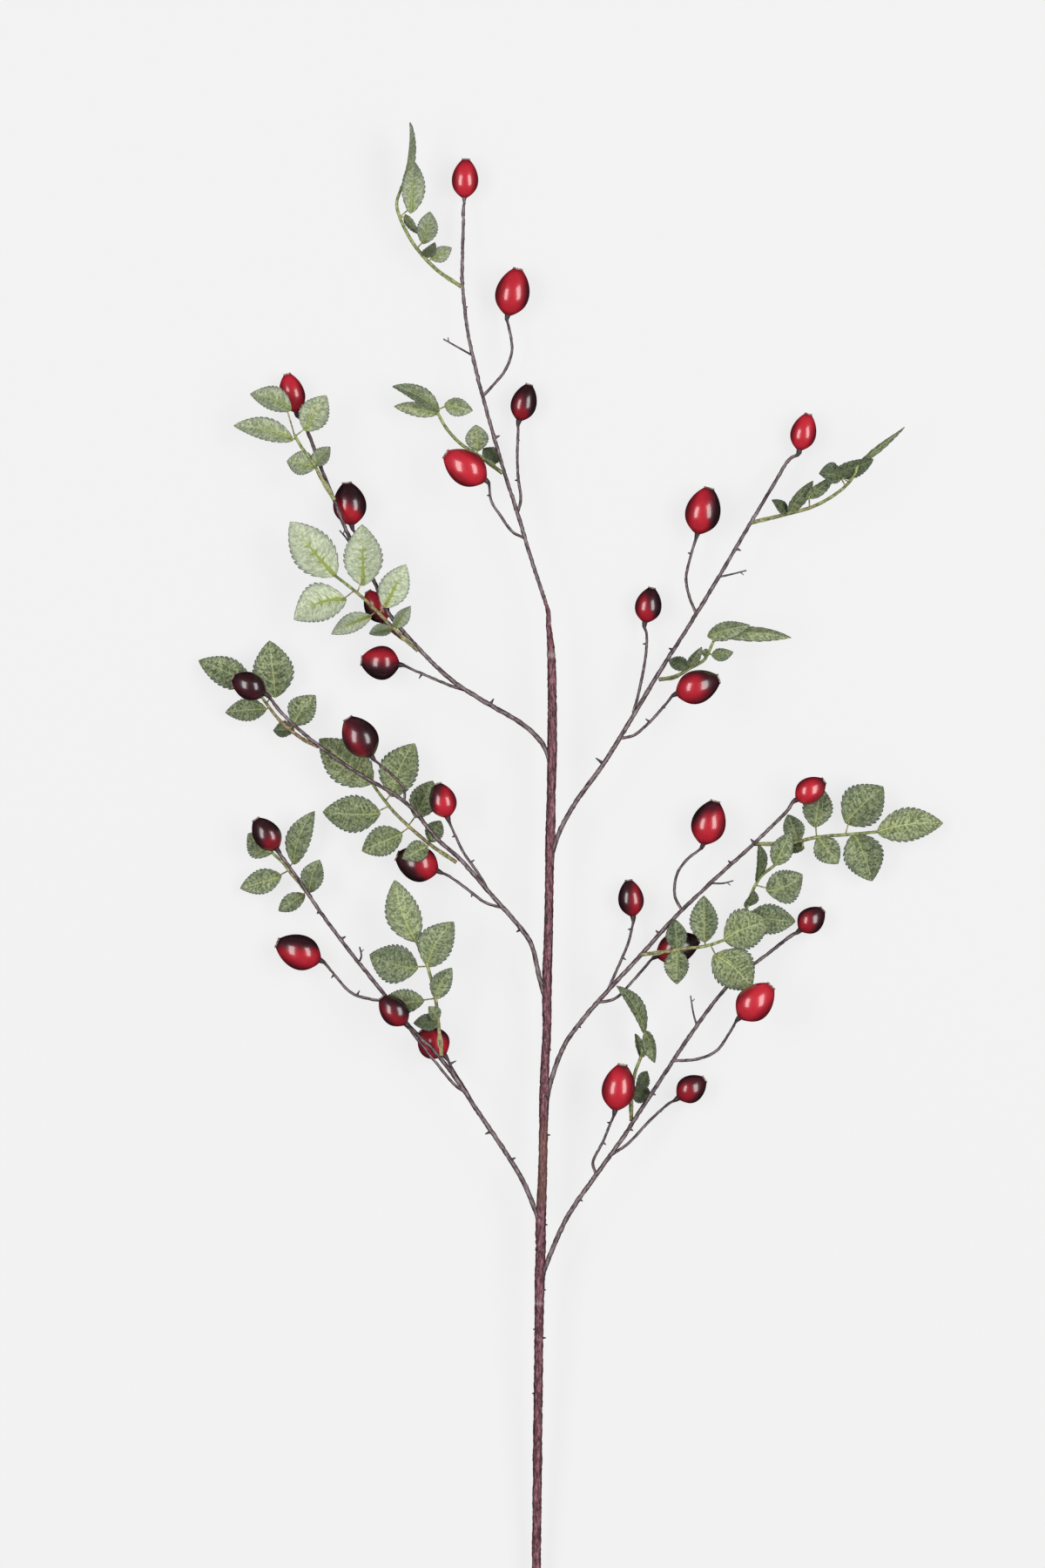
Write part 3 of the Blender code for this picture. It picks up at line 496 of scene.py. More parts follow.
def stalkEnd(hip):
    # the last straight piece of a hip's stalk, which ends inside the fruit
    base, tip = hipAxis(hip)
    along = (tip - base).normalized()
    return base - along * woodSizes["straight"] * mm, base + along * woodSizes["inside"] * mm


def hipAxis(hip):
    height = hip["height"] or hip["width"] / 2 - hipSizes["flat"]
    return place(*hip["base"], height), place(*hip["tip"], height)


# The wood is what holds all: a wrapped stem with collars, and thin shoots with prickles and twigs.
woodSizes = {
    "step": 1.3, "stalkStep": 1.5, "twigStep": 1.2, "spurStep": 0.8,
    "sides": 20, "shootSides": 12, "stalkSides": 9, "thornSides": 8, "twigSides": 7, "spurSides": 6,
    "stalk": 0.78, "stalkRoot": 1.12, "stalkTop": 1.6, "straight": 2.5, "inside": 1.2,
    "root": 1.45, "tip": 0.98, "twig": 0.42, "thorn": 1.15, "stalkThorn": 0.85, "spur": (1.5, 2.2),
    "lump": 1.9, "rough": 0.42, "shootRough": 0.34, "stalkRough": 0.22, "twigRough": 0.1,
    "bead": 0.45, "beadSpread": 2.6, "swelling": 0.25, "swellingSpread": 10, "cut": 0.8,
}
woodRows = {  # rows of the photo where the main stem changes, and where a shoot is worn
    "beads": (1416, 1426, 1435), "swelling": 1675, "ring": 1496, "wrapEnd": 752, "leader": 690,
    "brown": (1275, 1300, 1370, 1395), "worn": (720, 1272),
}
thornShape = [(0.0, 1.0), (0.35, 0.8), (0.6, 0.55), (0.85, 0.4), (1.0, 0.22)]  # way out, width
barkLook = {  # dark, middle and light fibres, the colour of the painted shade at the sides, and how much painted light lifts the top
    "stem_bark": ("#2a1218", "#532b35", "#8b5863", "#28141a", 0.12),
    "shoot_bark": ("#24191d", "#493a3e", "#827375", "#20171b", 0.3),
}
barkTints = {
    # the side strength sets how dark the painted shade at the sides of the wood is
    "paleFleckAndHighlight": ("#b99da2", 0.35), "deepFleck": ("#26151a", 0.5), "side": 0.7,
    "tones": ("#6a4a33", "#b9b2b0", "#28141a"),  # brown, pale and dark stretches
}


def barkMaterial(name):
    # wrapped bark with long fibres and paler flecks, with a painted highlight along its top and painted
    # shade at its sides
    dark, middle, light, edge, paintedTopLight = barkLook[name]
    made, tree, shader = newMaterial(name, {"Roughness": 0.55, "Specular IOR Level": 0.3})
    strands = cloud(tree, stretched(tree, "grain", (1.0, 1.0, 0.22)), 1.0, 5.0, 0.65)
    spots = cloud(tree, stretched(tree, "grain", (0.9, 0.9, 0.55)), 1.15, 4.0, 0.7)
    crest = attribute(tree, "crest", "Fac")
    # painted highlight: the fibres turn lighter where the wood faces up and darker away from the top
    topHighlight = sums(tree, "MULTIPLY", sums(tree, "SUBTRACT", crest, 0.72), paintedTopLight)
    fibres = sums(tree, "ADD", strands, topHighlight)
    colour = ramp(tree, fibres, [(0.37, dark), (0.65, light), (0.5, middle)])
    # pale flecks of the bark that show only where the wood faces up, so they are partly a painted highlight
    pale = sums(tree, "MULTIPLY", stepUp(tree, spots, 0.54, 0.68), crest)
    colour = washed(tree, colour, pale, barkTints["paleFleckAndHighlight"])
    colour = washed(tree, colour, stepUp(tree, spots, 0.46, 0.36), barkTints["deepFleck"])
    for share, tone in zip(threeValues(tree, "tone"), barkTints["tones"]):
        colour = mixed(tree, share, colour, linear(tone))
    # painted shade: the sides and underside of the wood darken towards the side colour
    colour = washed(tree, colour, stepUp(tree, crest, 0.62, 0.15), (edge, barkTints["side"]))
    tree.links.new(colour, shader.inputs["Base Color"])
    addRelief(tree, shader, strands, 0.9, 0.25)
    return made


def barkPaint(bm):
    # paints each point of the wood with its place in the bark and its share of the three tones
    grain = bm.verts.layers.float_vector.new("grain")
    tone = bm.verts.layers.float_vector.new("tone")

    def paintWith(toneAt):
        def write(point, i, a, b, along):
            point[grain] = (a, b, along)
            point[tone] = toneAt(i)
        return write

    return paintWith


def evenDark(share):
    return lambda i: (0.0, 0.0, share)


def markCrests(bm):
    # how far each part of the wood faces up, which the bark uses for a painted highlight on top and painted
    # shade at the sides
    crest = bm.verts.layers.float.new("crest")
    bm.normal_update()
    for point in bm.verts:
        point[crest] = max(0.0, point.normal.z)


def thorn(bm, woods, tip, paintWith):
    # a short prickle with a broad foot on the nearest wood or stalk, and a blunt end
    spots = [(wood[nearest(wood, tip)], foot) for wood, foot in woods]
    root, foot = min(spots, key=lambda spot: (spot[0].xy - tip.xy).length)
    end = Vector((tip.x, tip.y, root.z + random.uniform(-1.0, 1.0) * mm))
    path = [root.lerp(end, way) for way, width in thornShape]
    radii = [foot * width for way, width in thornShape]
    tube(bm, path, radii, woodSizes["thornSides"], paintWith(evenDark(0.45)))


def twig(bm, spots, paintWith, seed):
    # a bare twig, thin as a hair, with a small spur near its end
    path = smoothPath([place(*spot) for spot in spots], woodSizes["twigStep"] * mm)
    thin = woodSizes["twig"]
    radii = [thin * (1.5 - 0.5 * i / len(path)) for i in range(len(path))]
    write = paintWith(evenDark(0.3))
    tube(bm, path, radii, woodSizes["twigSides"], write, woodSizes["twigRough"], seed)
    back = (path[-2] - path[-1]).normalized()
    forward, aside = woodSizes["spur"]
    side = Vector((-back.y, back.x, 0.2)) * aside * mm
    spur = smoothPath([path[-4], path[-4] - back * forward * mm + side], woodSizes["spurStep"] * mm)
    radii = [thin, thin * 0.8, thin * 0.7, thin * 0.5]
    tube(bm, spur, radii, woodSizes["spurSides"], paintWith(evenDark(0.5)))


def stalk(bm, wood, hip, paintWith, seed):
    # the stalk of one hip, from the wood that bears it into the fruit
    straight, end = stalkEnd(hip)
    spots = hip["stalk"]
    root = place(*spots[0], 0)
    root.z = wood[nearest(wood, root)].z
    route = [root]
    for i, spot in enumerate(spots[1:], 1):
        height = root.z + (end.z - root.z) * smoothStep(0.0, 1.0, i / len(spots))
        route.append(place(*spot, height / mm))
    path = smoothPath(route + [straight, end], woodSizes["stalkStep"] * mm)
    thin = woodSizes["stalk"]
    radii = stalkRadii(lengthsAlong(path), thin * woodSizes["stalkRoot"], thin)
    last = len(path)
    write = paintWith(lambda i: (0.0, 0.0, 0.75 * smoothStep(last - 7, last - 2, i)))
    tube(bm, path, radii, woodSizes["stalkSides"], write, woodSizes["stalkRough"], seed)
    return path, woodSizes["stalkThorn"]


def stalkRadii(lengths, root, tip):
    # even along the way, and flared where the fruit sits on it
    total = lengths[-1]
    radii = []
    for length in lengths:
        even = root + (tip - root) * length / total
        flare = smoothStep(total - 5.5 * mm, total - 1.6 * mm, length)
        radii.append(even + (woodSizes["stalkTop"] - even) * flare)
    return radii


def mainStemPiece(bark, cutWood, thinBark):
    bm = bmesh.new()
    paintWith = barkPaint(bm)
    route = [place(x, y, height) for x, y, height, radius in mainStem] + [*stalkEnd(hips["t1"])]
    routeRadii = [radius for *_, radius in mainStem] + [woodSizes["stalk"], woodSizes["stalkTop"]]
    table = list(zip(lengthsAlong(route), routeRadii))
    path = smoothPath(route, woodSizes["step"] * mm)
    lengths = lengthsAlong(path)
    stretch = table[-1][0] / lengths[-1]
    radii = []
    rows = []
    for point, length in zip(path, lengths):
        row = photo["middle"][1] - point.y / photo["point"]
        radius = blended(table, length * stretch)
        for bead in woodRows["beads"]:
            radius += woodSizes["bead"] * swell(row, bead, woodSizes["beadSpread"])
        radius += woodSizes["swelling"] * swell(row, woodRows["swelling"], woodSizes["swellingSpread"])
        radii.append(radius)
        rows.append(row)
    rows = [rows[0], *rows, rows[-1]]

    def toneAt(i):
        brownFrom, brownFull, brownLess, brownTo = woodRows["brown"]
        brown = smoothStep(brownFrom, brownFull, rows[i]) * smoothStep(brownTo, brownLess, rows[i])
        pale = 0.3 * swell(rows[i], woodRows["ring"], 1.6) + 0.35 * swell(rows[i], woodRows["wrapEnd"], 3)
        return (0.4 * brown, pale, 0.0)

    tube(bm, path, radii, woodSizes["sides"], paintWith(toneAt), woodSizes["rough"], 3.0)
    woods = [(path, woodSizes["thorn"])]
    for number in "234":
        woods.append(stalk(bm, path, hips["t" + number], paintWith, float(number)))
    for x, y in mainThorns:
        thorn(bm, woods, place(x, y, 0), paintWith)
    twig(bm, leaderTwig, paintWith, 9.0)
    end = path[0]
    ahead = (path[1] - end).normalized()
    turn = ahead.to_track_quat("Z", "Y").to_matrix().to_4x4()
    radius = mainStem[0][3] * woodSizes["cut"] * mm
    disc = bmesh.ops.create_circle(bm, cap_ends=True, segments=woodSizes["sides"], radius=radius)["verts"]
    bmesh.ops.transform(bm, verts=disc, matrix=Matrix.Translation(end - ahead * 0.02 * mm) @ turn)
    for face in disc[0].link_faces:
        face.material_index = 1
        face.normal_flip()
    leader = place(0, woodRows["leader"], 0).y
    for face in bm.faces:
        if face.calc_center_median().y > leader:
            face.material_index = 2
    markCrests(bm)
    finished(bm, "mainStemWood", [bark, cutWood, thinBark], "main_stem")


def shootPiece(letter, shoot, bark):
    bm = bmesh.new()
    paintWith = barkPaint(bm)
    route = [place(*spot) for spot in shoot["wood"]] + [*stalkEnd(hips[letter + "1"])]
    path = smoothPath(route, woodSizes["step"] * mm)
    radii = stalkRadii(lengthsAlong(path), woodSizes["root"], woodSizes["tip"])
    last = len(path)
    seed = ord(letter) * 7.3
    worn = place(*woodRows["worn"], 0)

    def toneAt(i):
        away = (path[min(i, last - 1)].xy - worn.xy).length
        return (0.0, 0.6 * smoothStep(4 * mm, 1 * mm, away), 0.7 * smoothStep(last - 7, last - 2, i))

    tube(bm, path, radii, woodSizes["shootSides"], paintWith(toneAt), woodSizes["shootRough"], seed)
    woods = [(path, woodSizes["thorn"])]
    for number in "234":
        woods.append(stalk(bm, path, hips[letter + number], paintWith, seed + int(number)))
    for x, y in shoot["thorns"]:
        thorn(bm, woods, place(x, y, 0), paintWith)
    for spots in shoot["twigs"]:
        twig(bm, spots, paintWith, seed)
    markCrests(bm)
    finished(bm, "shootWood_" + letter, [bark], "shoot_" + letter)


# A hip is a glossy egg, red where the sun reached it and near black on the other side.
hipSizes = {
    "flat": 0.45, "rows": 26, "sides": 36, "lump": 0.018, "blotch": 6, "clearance": 0.02,
    "crown": 0.27, "crownEdge": 1.1, "crownSides": 20,
}
hipProfile = [  # share of the length, share of the widest radius
    (0.0, 0.17), (0.03, 0.30), (0.06, 0.43), (0.12, 0.62), (0.18, 0.78), (0.29, 0.94), (0.41, 1.0),
    (0.53, 0.98), (0.65, 0.89), (0.76, 0.75), (0.88, 0.52), (0.94, 0.36), (0.975, 0.26),
]
crownProfile = [  # share of the length, share of the crown's radius, raggedness
    (0.955, 1.05, 0), (0.985, 1.12, 0.45), (0.99, 0.85, 0.35), (0.965, 0.5, 0), (0.972, 0.0, 0),
]
hipShade = {  # where the dark side lies in degrees, where it starts along that way, its depth, the rest
    "t1": (90, 1.2, 0.4, 0.05), "t2": (10, 0.8, 0.5, 0.1), "t3": (30, 0.0, 0.9, 0.4),
    "t4": (0, 1.2, 0.4, 0.03), "a1": (0, 1.0, 0.4, 0.06), "a2": (60, 0.0, 1.0, 0.15),
    "a3": (225, 0.3, 0.8, 0.2), "a4": (265, -0.1, 0.9, 0.15), "b1": (60, -0.6, 0.85, 0.55),
    "b2": (30, -0.2, 0.8, 0.4), "b3": (150, 0.4, 0.9, 0.08), "b4": (205, 0.1, 0.9, 0.12),
    "c1": (130, -0.1, 0.85, 0.45), "c2": (90, 0.2, 1.0, 0.12), "c3": (60, 0.0, 0.9, 0.36),
    "c4": (90, 0.6, 0.6, 0.12), "d1": (0, 1.2, 0.4, 0.05), "d2": (0, 0.35, 0.95, 0.1),
    "d3": (25, 0.05, 0.9, 0.22), "d4": (20, 0.4, 0.85, 0.15), "e1": (30, 0.8, 0.6, 0.06),
    "e2": (115, 0.5, 0.85, 0.1), "e3": (170, -0.05, 0.9, 0.25), "e4": (0, -0.2, 1.0, 0.3),
    "f1": (20, 0.1, 0.8, 0.3), "f2": (0, 1.2, 0.4, 0.04), "f3": (30, 0.2, 0.7, 0.35),
    "f4": (50, 0.85, 0.5, 0.06),
}
skinLook = {
    "ripenessAndShade": [
        (0.0, "#bb2534"), (1.0, "#251519"), (0.2, "#a01a29"), (0.42, "#7f1723"), (0.62, "#5a1722"),
        (0.8, "#3f1820"),
    ],
    "speck": ("#d8424a", 0.12),
    "gloss": {
        "Roughness": 0.3, "IOR": 1.5, "Specular IOR Level": 0.6,
        "Coat Weight": 0.8, "Coat Roughness": 0.12, "Coat IOR": 1.5,
    },
}


def skinMaterial():
    # taut waxed skin: clear red to near black and darker towards the rim as painted shade, a soft gloss and
    # a thin clear layer over it
    made, tree, shader = newMaterial("ripe_skin_gloss", skinLook["gloss"])
    spots = addNode(tree, "TexCoord").outputs["Object"]
    mottle = cloud(tree, spots, 320.0, 4.0, 0.6)
    worn = cloud(tree, spots, 1500.0, 2.0)
    shift = sums(tree, "MULTIPLY", sums(tree, "SUBTRACT", mottle, 0.5), 0.2)
    ripeAndRimShade = sums(tree, "ADD", attribute(tree, "ripeAndRimShade", "Fac"), shift)
    colour = ramp(tree, ripeAndRimShade, skinLook["ripenessAndShade"])
    colour = washed(tree, colour, stepUp(tree, worn, 0.60, 0.74), skinLook["speck"])
    tree.links.new(colour, shader.inputs["Base Color"])
    return made


def crownMaterial():
    # the dry end of the flower: corky grey-brown, quite matt
    made, tree, shader = newMaterial("dry_calyx", {"Roughness": 0.8})
    grain = cloud(tree, addNode(tree, "TexCoord").outputs["Object"], 900.0, 3.0)
    colour = ramp(tree, grain, [(0.35, "#4a3a36"), (0.66, "#b0a298"), (0.5, "#7a6a62")])
    tree.links.new(colour, shader.inputs["Base Color"])
    return made


def hipPiece(name, hip, skin, crown):
    base, tip = hipAxis(hip)
    along = tip - base
    length = along.length
    along = along.normalized()
    side = Vector((0, 0, 1)).cross(along).normalized()
    up = along.cross(side)
    radius = hip["width"] / 2 * mm
    angle, start, depth, rest = hipShade[name]
    towards = Vector((math.cos(math.radians(angle)), math.sin(math.radians(angle))))
    middle = base + along * length * 0.46
    seed = Vector((sum(map(ord, name)) * 1.7, 0, 0))
    bm = bmesh.new()
    ripeAndRimShade = bm.verts.layers.float.new("ripeAndRimShade")
    rows = hipSizes["rows"]
    shares = [0.49 - 0.49 * math.cos(math.pi * i / rows) for i in range(rows + 1)]
    widths = [math.sqrt(blended([(a, b * b) for a, b in hipProfile], share)) for share in shares]
    for _ in range(2):  # rounds off the corners of the profile
        inner = [(a + 2 * b + c) / 4 for a, b, c in zip(widths, widths[1:], widths[2:])]
        widths = [widths[0], *inner, widths[-1]]
    shares = [shares[0] + 0.01, *shares, shares[-1] - 0.03]  # closes both ends, a little inwards
    widths = [0.0, *widths, 0.0]

    def outwards(j, sides):
        turn = aroundAxis(j, sides)
        return side * math.cos(turn) + up * math.sin(turn)

    def aboveGround(spot):
        spot.z = max(spot.z, hipSizes["clearance"] * mm)
        return spot

    def skinSpot(i, j, point):
        share = shares[i]
        way = outwards(j, hipSizes["sides"])
        lump = 1 + hipSizes["lump"] * noise.noise(way * 1.3 + along * share * 2 + seed)
        spot = aboveGround(base + along * share * length + way * widths[i] * radius * lump)
        out = spot - middle
        darkWay = Vector((out.x, out.y)).dot(towards) / radius
        darkWay += 0.16 * noise.noise(out / (hipSizes["blotch"] * mm) + seed)
        dark = smoothStep(start - 0.45, start + 0.6, darkWay) * (1 - rest) * depth + rest
        # painted shade: the skin darkens towards its rim, as seen from above
        fromAxis = (out - along * out.dot(along)).xy.length / radius
        dark += 0.52 * smoothStep(0.35, 1.0, fromAxis)
        dark += 0.3 * smoothStep(0.86, 1.0, share) + 0.35 * smoothStep(0.1, 0.0, share)
        point[ripeAndRimShade] = min(1.0, dark)
        return spot

    closeSeams(bm, warpedGrid(bm, rows + 2, hipSizes["sides"], skinSpot))
    before = set(bm.faces)
    sides = hipSizes["crownSides"]
    ragged = [random.uniform(0.2, 1.0) for _ in range(sides)]

    def crownSpot(i, j, point):
        share, width, wild = crownProfile[i]
        edge = wild * ragged[j % sides] * hipSizes["crownEdge"] * mm
        reach = width * hipSizes["crown"] * radius + edge * 0.2
        point[ripeAndRimShade] = 1.0
        return aboveGround(base + along * (share * length + edge) + outwards(j, sides) * reach)

    closeSeams(bm, warpedGrid(bm, len(crownProfile) - 1, sides, crownSpot))
    for face in bm.faces:
        if face not in before:
            face.material_index = 1
    bmesh.ops.recalc_face_normals(bm, faces=bm.faces)
    finished(bm, "hipFruit_" + name, [skin, crown], "hip_" + name)


# A leaf is a yellow-green rachis with toothed, net-veined leaflets on short stalks.
leafSizes = {
    "thickness": 0.35, "halfRows": 6, "veins": 7, "fold": 0.14, "arch": 0.035,
    "wave": 0.35, "uneven": 0.25, "ridge": 0.12,
    "teeth": 12, "toothRows": 4, "tooth": 0.13, "toothShape": (0.0, 0.55, 0.95, 0.85), "toothLean": 0.55,
    "lean": 0.13, "smallWidth": 11, "smallTeeth": 8,
    "rachis": (1.15, 0.85), "rachisSides": 8, "rachisRough": 0.12, "leafletStalk": 0.45, "sunk": 0.45,
    "noStalk": 1.5, "stalkSides": 6, "stipule": (13.0, 2.8), "stipuleStart": 2.6, "stipuleThickness": 0.3,
    "stipuleRows": 12, "stipuleHalf": 3,
}
leafLook = {  # how pale the leaf is, how yellow-green, how brown its stalk, how dark each leaflet is
    "t1": (0.6, 0.2, 0.2, (0.2, 0.9, 0.4, 0.5, 0.15, 0.3)),
    "t2": (0.3, 0.5, 0.2, (1.0, 0.2, 0.2, 0.0, 0.45)),
    "a1": (0.5, 0.3, 0.3, (0.2, 0.5, 0.05, 0.25, 0.1)),
    "a2": (1.0, 0.0, 0.6, (0.55, 0.9, 0.4, 0.0, 0.0, 0.1, 0.0)),
    "b1": (0.05, 0.4, 0.9, (0.2, 0.75, 0.2, 0.4, 0.3)),
    "b2": (0.05, 0.8, 0.5, (0.3, 0.5, 0.3, 0.35, 0.35, 0.15, 0.1)),
    "c1": (0.15, 0.4, 0.5, (0.5, 0.45, 0.3, 0.25, 0.3)),
    "c2": (0.15, 0.6, 0.4, (1.0, 0.4, 0.4, 0.35, 0.25, 0.45, 0.0)),
    "d1": (0.1, 0.3, 0.3, (0.9, 0.45, 0.4, 0.7, 0.75, 0.3)),
    "d2": (0.25, 0.5, 0.3, (0.85, 0.55, 0.5, 0.6, 0.25, 0.1)),
    "e1": (0.05, 0.6, 0.3, (0.55, 0.9, 0.4, 0.25, 0.4, 0.4, 0.0)),
    "e2": (0.05, 0.7, 0.4, (0.65, 0.35, 0.4, 0.1, 0.15)),
    "f1": (0.1, 0.3, 0.3, (0.4, 0.6, 0.3, 0.75, 0.2)),
    "f2": (0.1, 0.3, 0.3, (1.0, 0.95, 0.4, 0.5, 0.4)),
}
leafColours = {  # a ramp's stops, a colour and its strength, or the two ends of a blend
    "top": [(0.42, "#29331f"), (0.58, "#9fab7d"), (0.5, "#5f6c4a")],
    "below": [(0.38, "#97a286"), (0.62, "#c5ccb3"), (0.5, "#aeb79a")],
    "net": ("#87947c", "#b9be88"), "netStrength": 0.4, "netBelow": ("#8d9978", 0.2),
    "hollow": ("#3b482f", 0.4), "pit": ("#36422a", 0.55),
    "glint": ("#b6bd98", 0.48), "glintBelow": ("#d9dcc6", 0.25),
    "yellow": ("#8f9a5c", 0.26), "young": ("#7b8a33", 0.3), "midribHighlightBelow": ("#b9c67c", 0.3),
    "sideVein": ("#a9b084", 0.4), "midrib": ("#b6bc90", 0.65), "ribBelow": ("#7e8b3c", 0.9),
    "shade": ("#34402c", 0.8),
    "rim": ("#6d7568", "#8f9a8a"), "rimReach": (0.6, 0.95), "rimStrength": 0.35,
    "edge": ("#3f4638", "#60665c"), "edgeReach": (0.84, 1.0), "edgeStrength": 0.75,
    "halfShade": 0.22,
    "stalk": [(0.35, "#56613a"), (0.66, "#9aa368"), (0.5, "#78844c")],
    "stalkBrown": [(0.35, "#54393a"), (0.66, "#b08f68"), (0.5, "#7d5f4c")],
}


def leafMaterial():
    # dull green with a fine pale net that runs with the side veins, a grey margin, a chalky side below
    made, tree, shader = newMaterial("rose_leaf", {"Roughness": 0.65, "Specular IOR Level": 0.25})
    tints = leafColours
    pale, dark, yellow = threeValues(tree, "look")
    along, away, fromRib = threeValues(tree, "leafPlace")
    spots = addNode(tree, "TexCoord").outputs["Object"]
    broad = cloud(tree, spots, 130.0, 3.0)
    fine = cloud(tree, spots, 850.0, 2.0)
    strokes = cloud(tree, stretched(tree, "leafGrain", (0.72, 0.36, 1.0)), 1.0, 2.0, 0.65)
    meshes = {"Vector": stretched(tree, "leafGrain", (0.55, 0.32, 1.0)), "Scale": 1.0}
    cells = addNode(tree, "TexVoronoi", meshes, feature="DISTANCE_TO_EDGE").outputs[0]
    netLine = stepUp(tree, cells, 0.13, 0.02)
    ribPhase = sums(tree, "FRACT", sums(tree, "MULTIPLY", along, float(leafSizes["veins"])))
    fromGap = sums(tree, "ABSOLUTE", sums(tree, "SUBTRACT", ribPhase, 0.5))  # 0.5 on a side vein
    ribHalf = addNode(tree, "MapRange", {0: along, 1: 0.0, 2: 0.7, 3: 1.25, 4: 0.1}).outputs[0]
    midrib = stepUp(tree, sums(tree, "SUBTRACT", fromRib, ribHalf), 0.28, -0.1)
    # near the midrib and towards the base: a young tint on top, and a painted highlight on the side below
    young = sums(tree, "MULTIPLY", stepUp(tree, fromRib, 3.4, 0.3), stepUp(tree, along, 0.8, 0.1))

    netColour = mixed(tree, yellow, *map(linear, tints["net"]))
    netShare = sums(tree, "MULTIPLY", netLine, tints["netStrength"])
    top = mixed(tree, netShare, ramp(tree, strokes, tints["top"]), netColour)
    top = washed(tree, top, stepUp(tree, broad, 0.56, 0.36), tints["hollow"])
    top = washed(tree, top, stepUp(tree, fine, 0.53, 0.62), tints["glint"])
    top = washed(tree, top, stepUp(tree, fine, 0.47, 0.38), tints["pit"])
    top = washed(tree, top, yellow, tints["yellow"])
    top = washed(tree, top, young, tints["young"])
    sideLine = sums(tree, "MULTIPLY", stepUp(tree, fromGap, 0.36, 0.47), stepUp(tree, away, 0.95, 0.3))
    thinRib = sums(tree, "MULTIPLY", stepUp(tree, fromRib, 0.5, 0.15), stepUp(tree, along, 0.97, 0.7))
    top = washed(tree, top, sideLine, tints["sideVein"])
    top = washed(tree, top, thinRib, tints["midrib"])

    below = washed(tree, ramp(tree, strokes, tints["below"]), netLine, tints["netBelow"])
    below = washed(tree, below, stepUp(tree, fine, 0.54, 0.66), tints["glintBelow"])
    # painted highlight: a pale yellow-green band beside the midrib on the side below
    below = washed(tree, below, young, tints["midribHighlightBelow"])
    nearRib = sums(tree, "MULTIPLY", stepUp(tree, away, 0.35, 0.0), 0.1)
    shortRib = stepUp(tree, sums(tree, "ADD", fromGap, nearRib), 0.38, 0.48)
    shortRib = sums(tree, "MULTIPLY", shortRib, stepUp(tree, away, 0.45, 0.12))
    ribs = sums(tree, "MAXIMUM", midrib, shortRib)
    ribs = sums(tree, "MULTIPLY", ribs, stepUp(tree, along, 0.85, 0.5))
    below = washed(tree, below, ribs, tints["ribBelow"])

    colour = washed(tree, mixed(tree, pale, top, below), dark, tints["shade"])
    for band in ("rim", "edge"):
        share = sums(tree, "MULTIPLY", stepUp(tree, away, *tints[band + "Reach"]), tints[band + "Strength"])
        colour = mixed(tree, share, colour, mixed(tree, pale, *map(linear, tints[band])))
    tree.links.new(colour, shader.inputs["Base Color"])
    height = sums(tree, "SUBTRACT", strokes, sums(tree, "MAXIMUM", sideLine, netLine))
    addRelief(tree, shader, height, 0.7, 0.2)
    return made


def rachisMaterial():
    # soft young stalk: yellow-green with duller streaks, brown towards its foot
    made, tree, shader = newMaterial("leaf_stalk", {"Roughness": 0.55})
    grain = cloud(tree, addNode(tree, "TexCoord").outputs["Object"], 500.0, 3.0)
    brown = threeValues(tree, "look")[0]
    green = ramp(tree, grain, leafColours["stalk"])
    colour = mixed(tree, brown, green, ramp(tree, grain, leafColours["stalkBrown"]))
    tree.links.new(colour, shader.inputs["Base Color"])
    return made


def halfWidth(t):
    # the outline of a leaflet, which is widest a little before its middle
    return math.sin(math.pi * t**0.86) ** 0.82


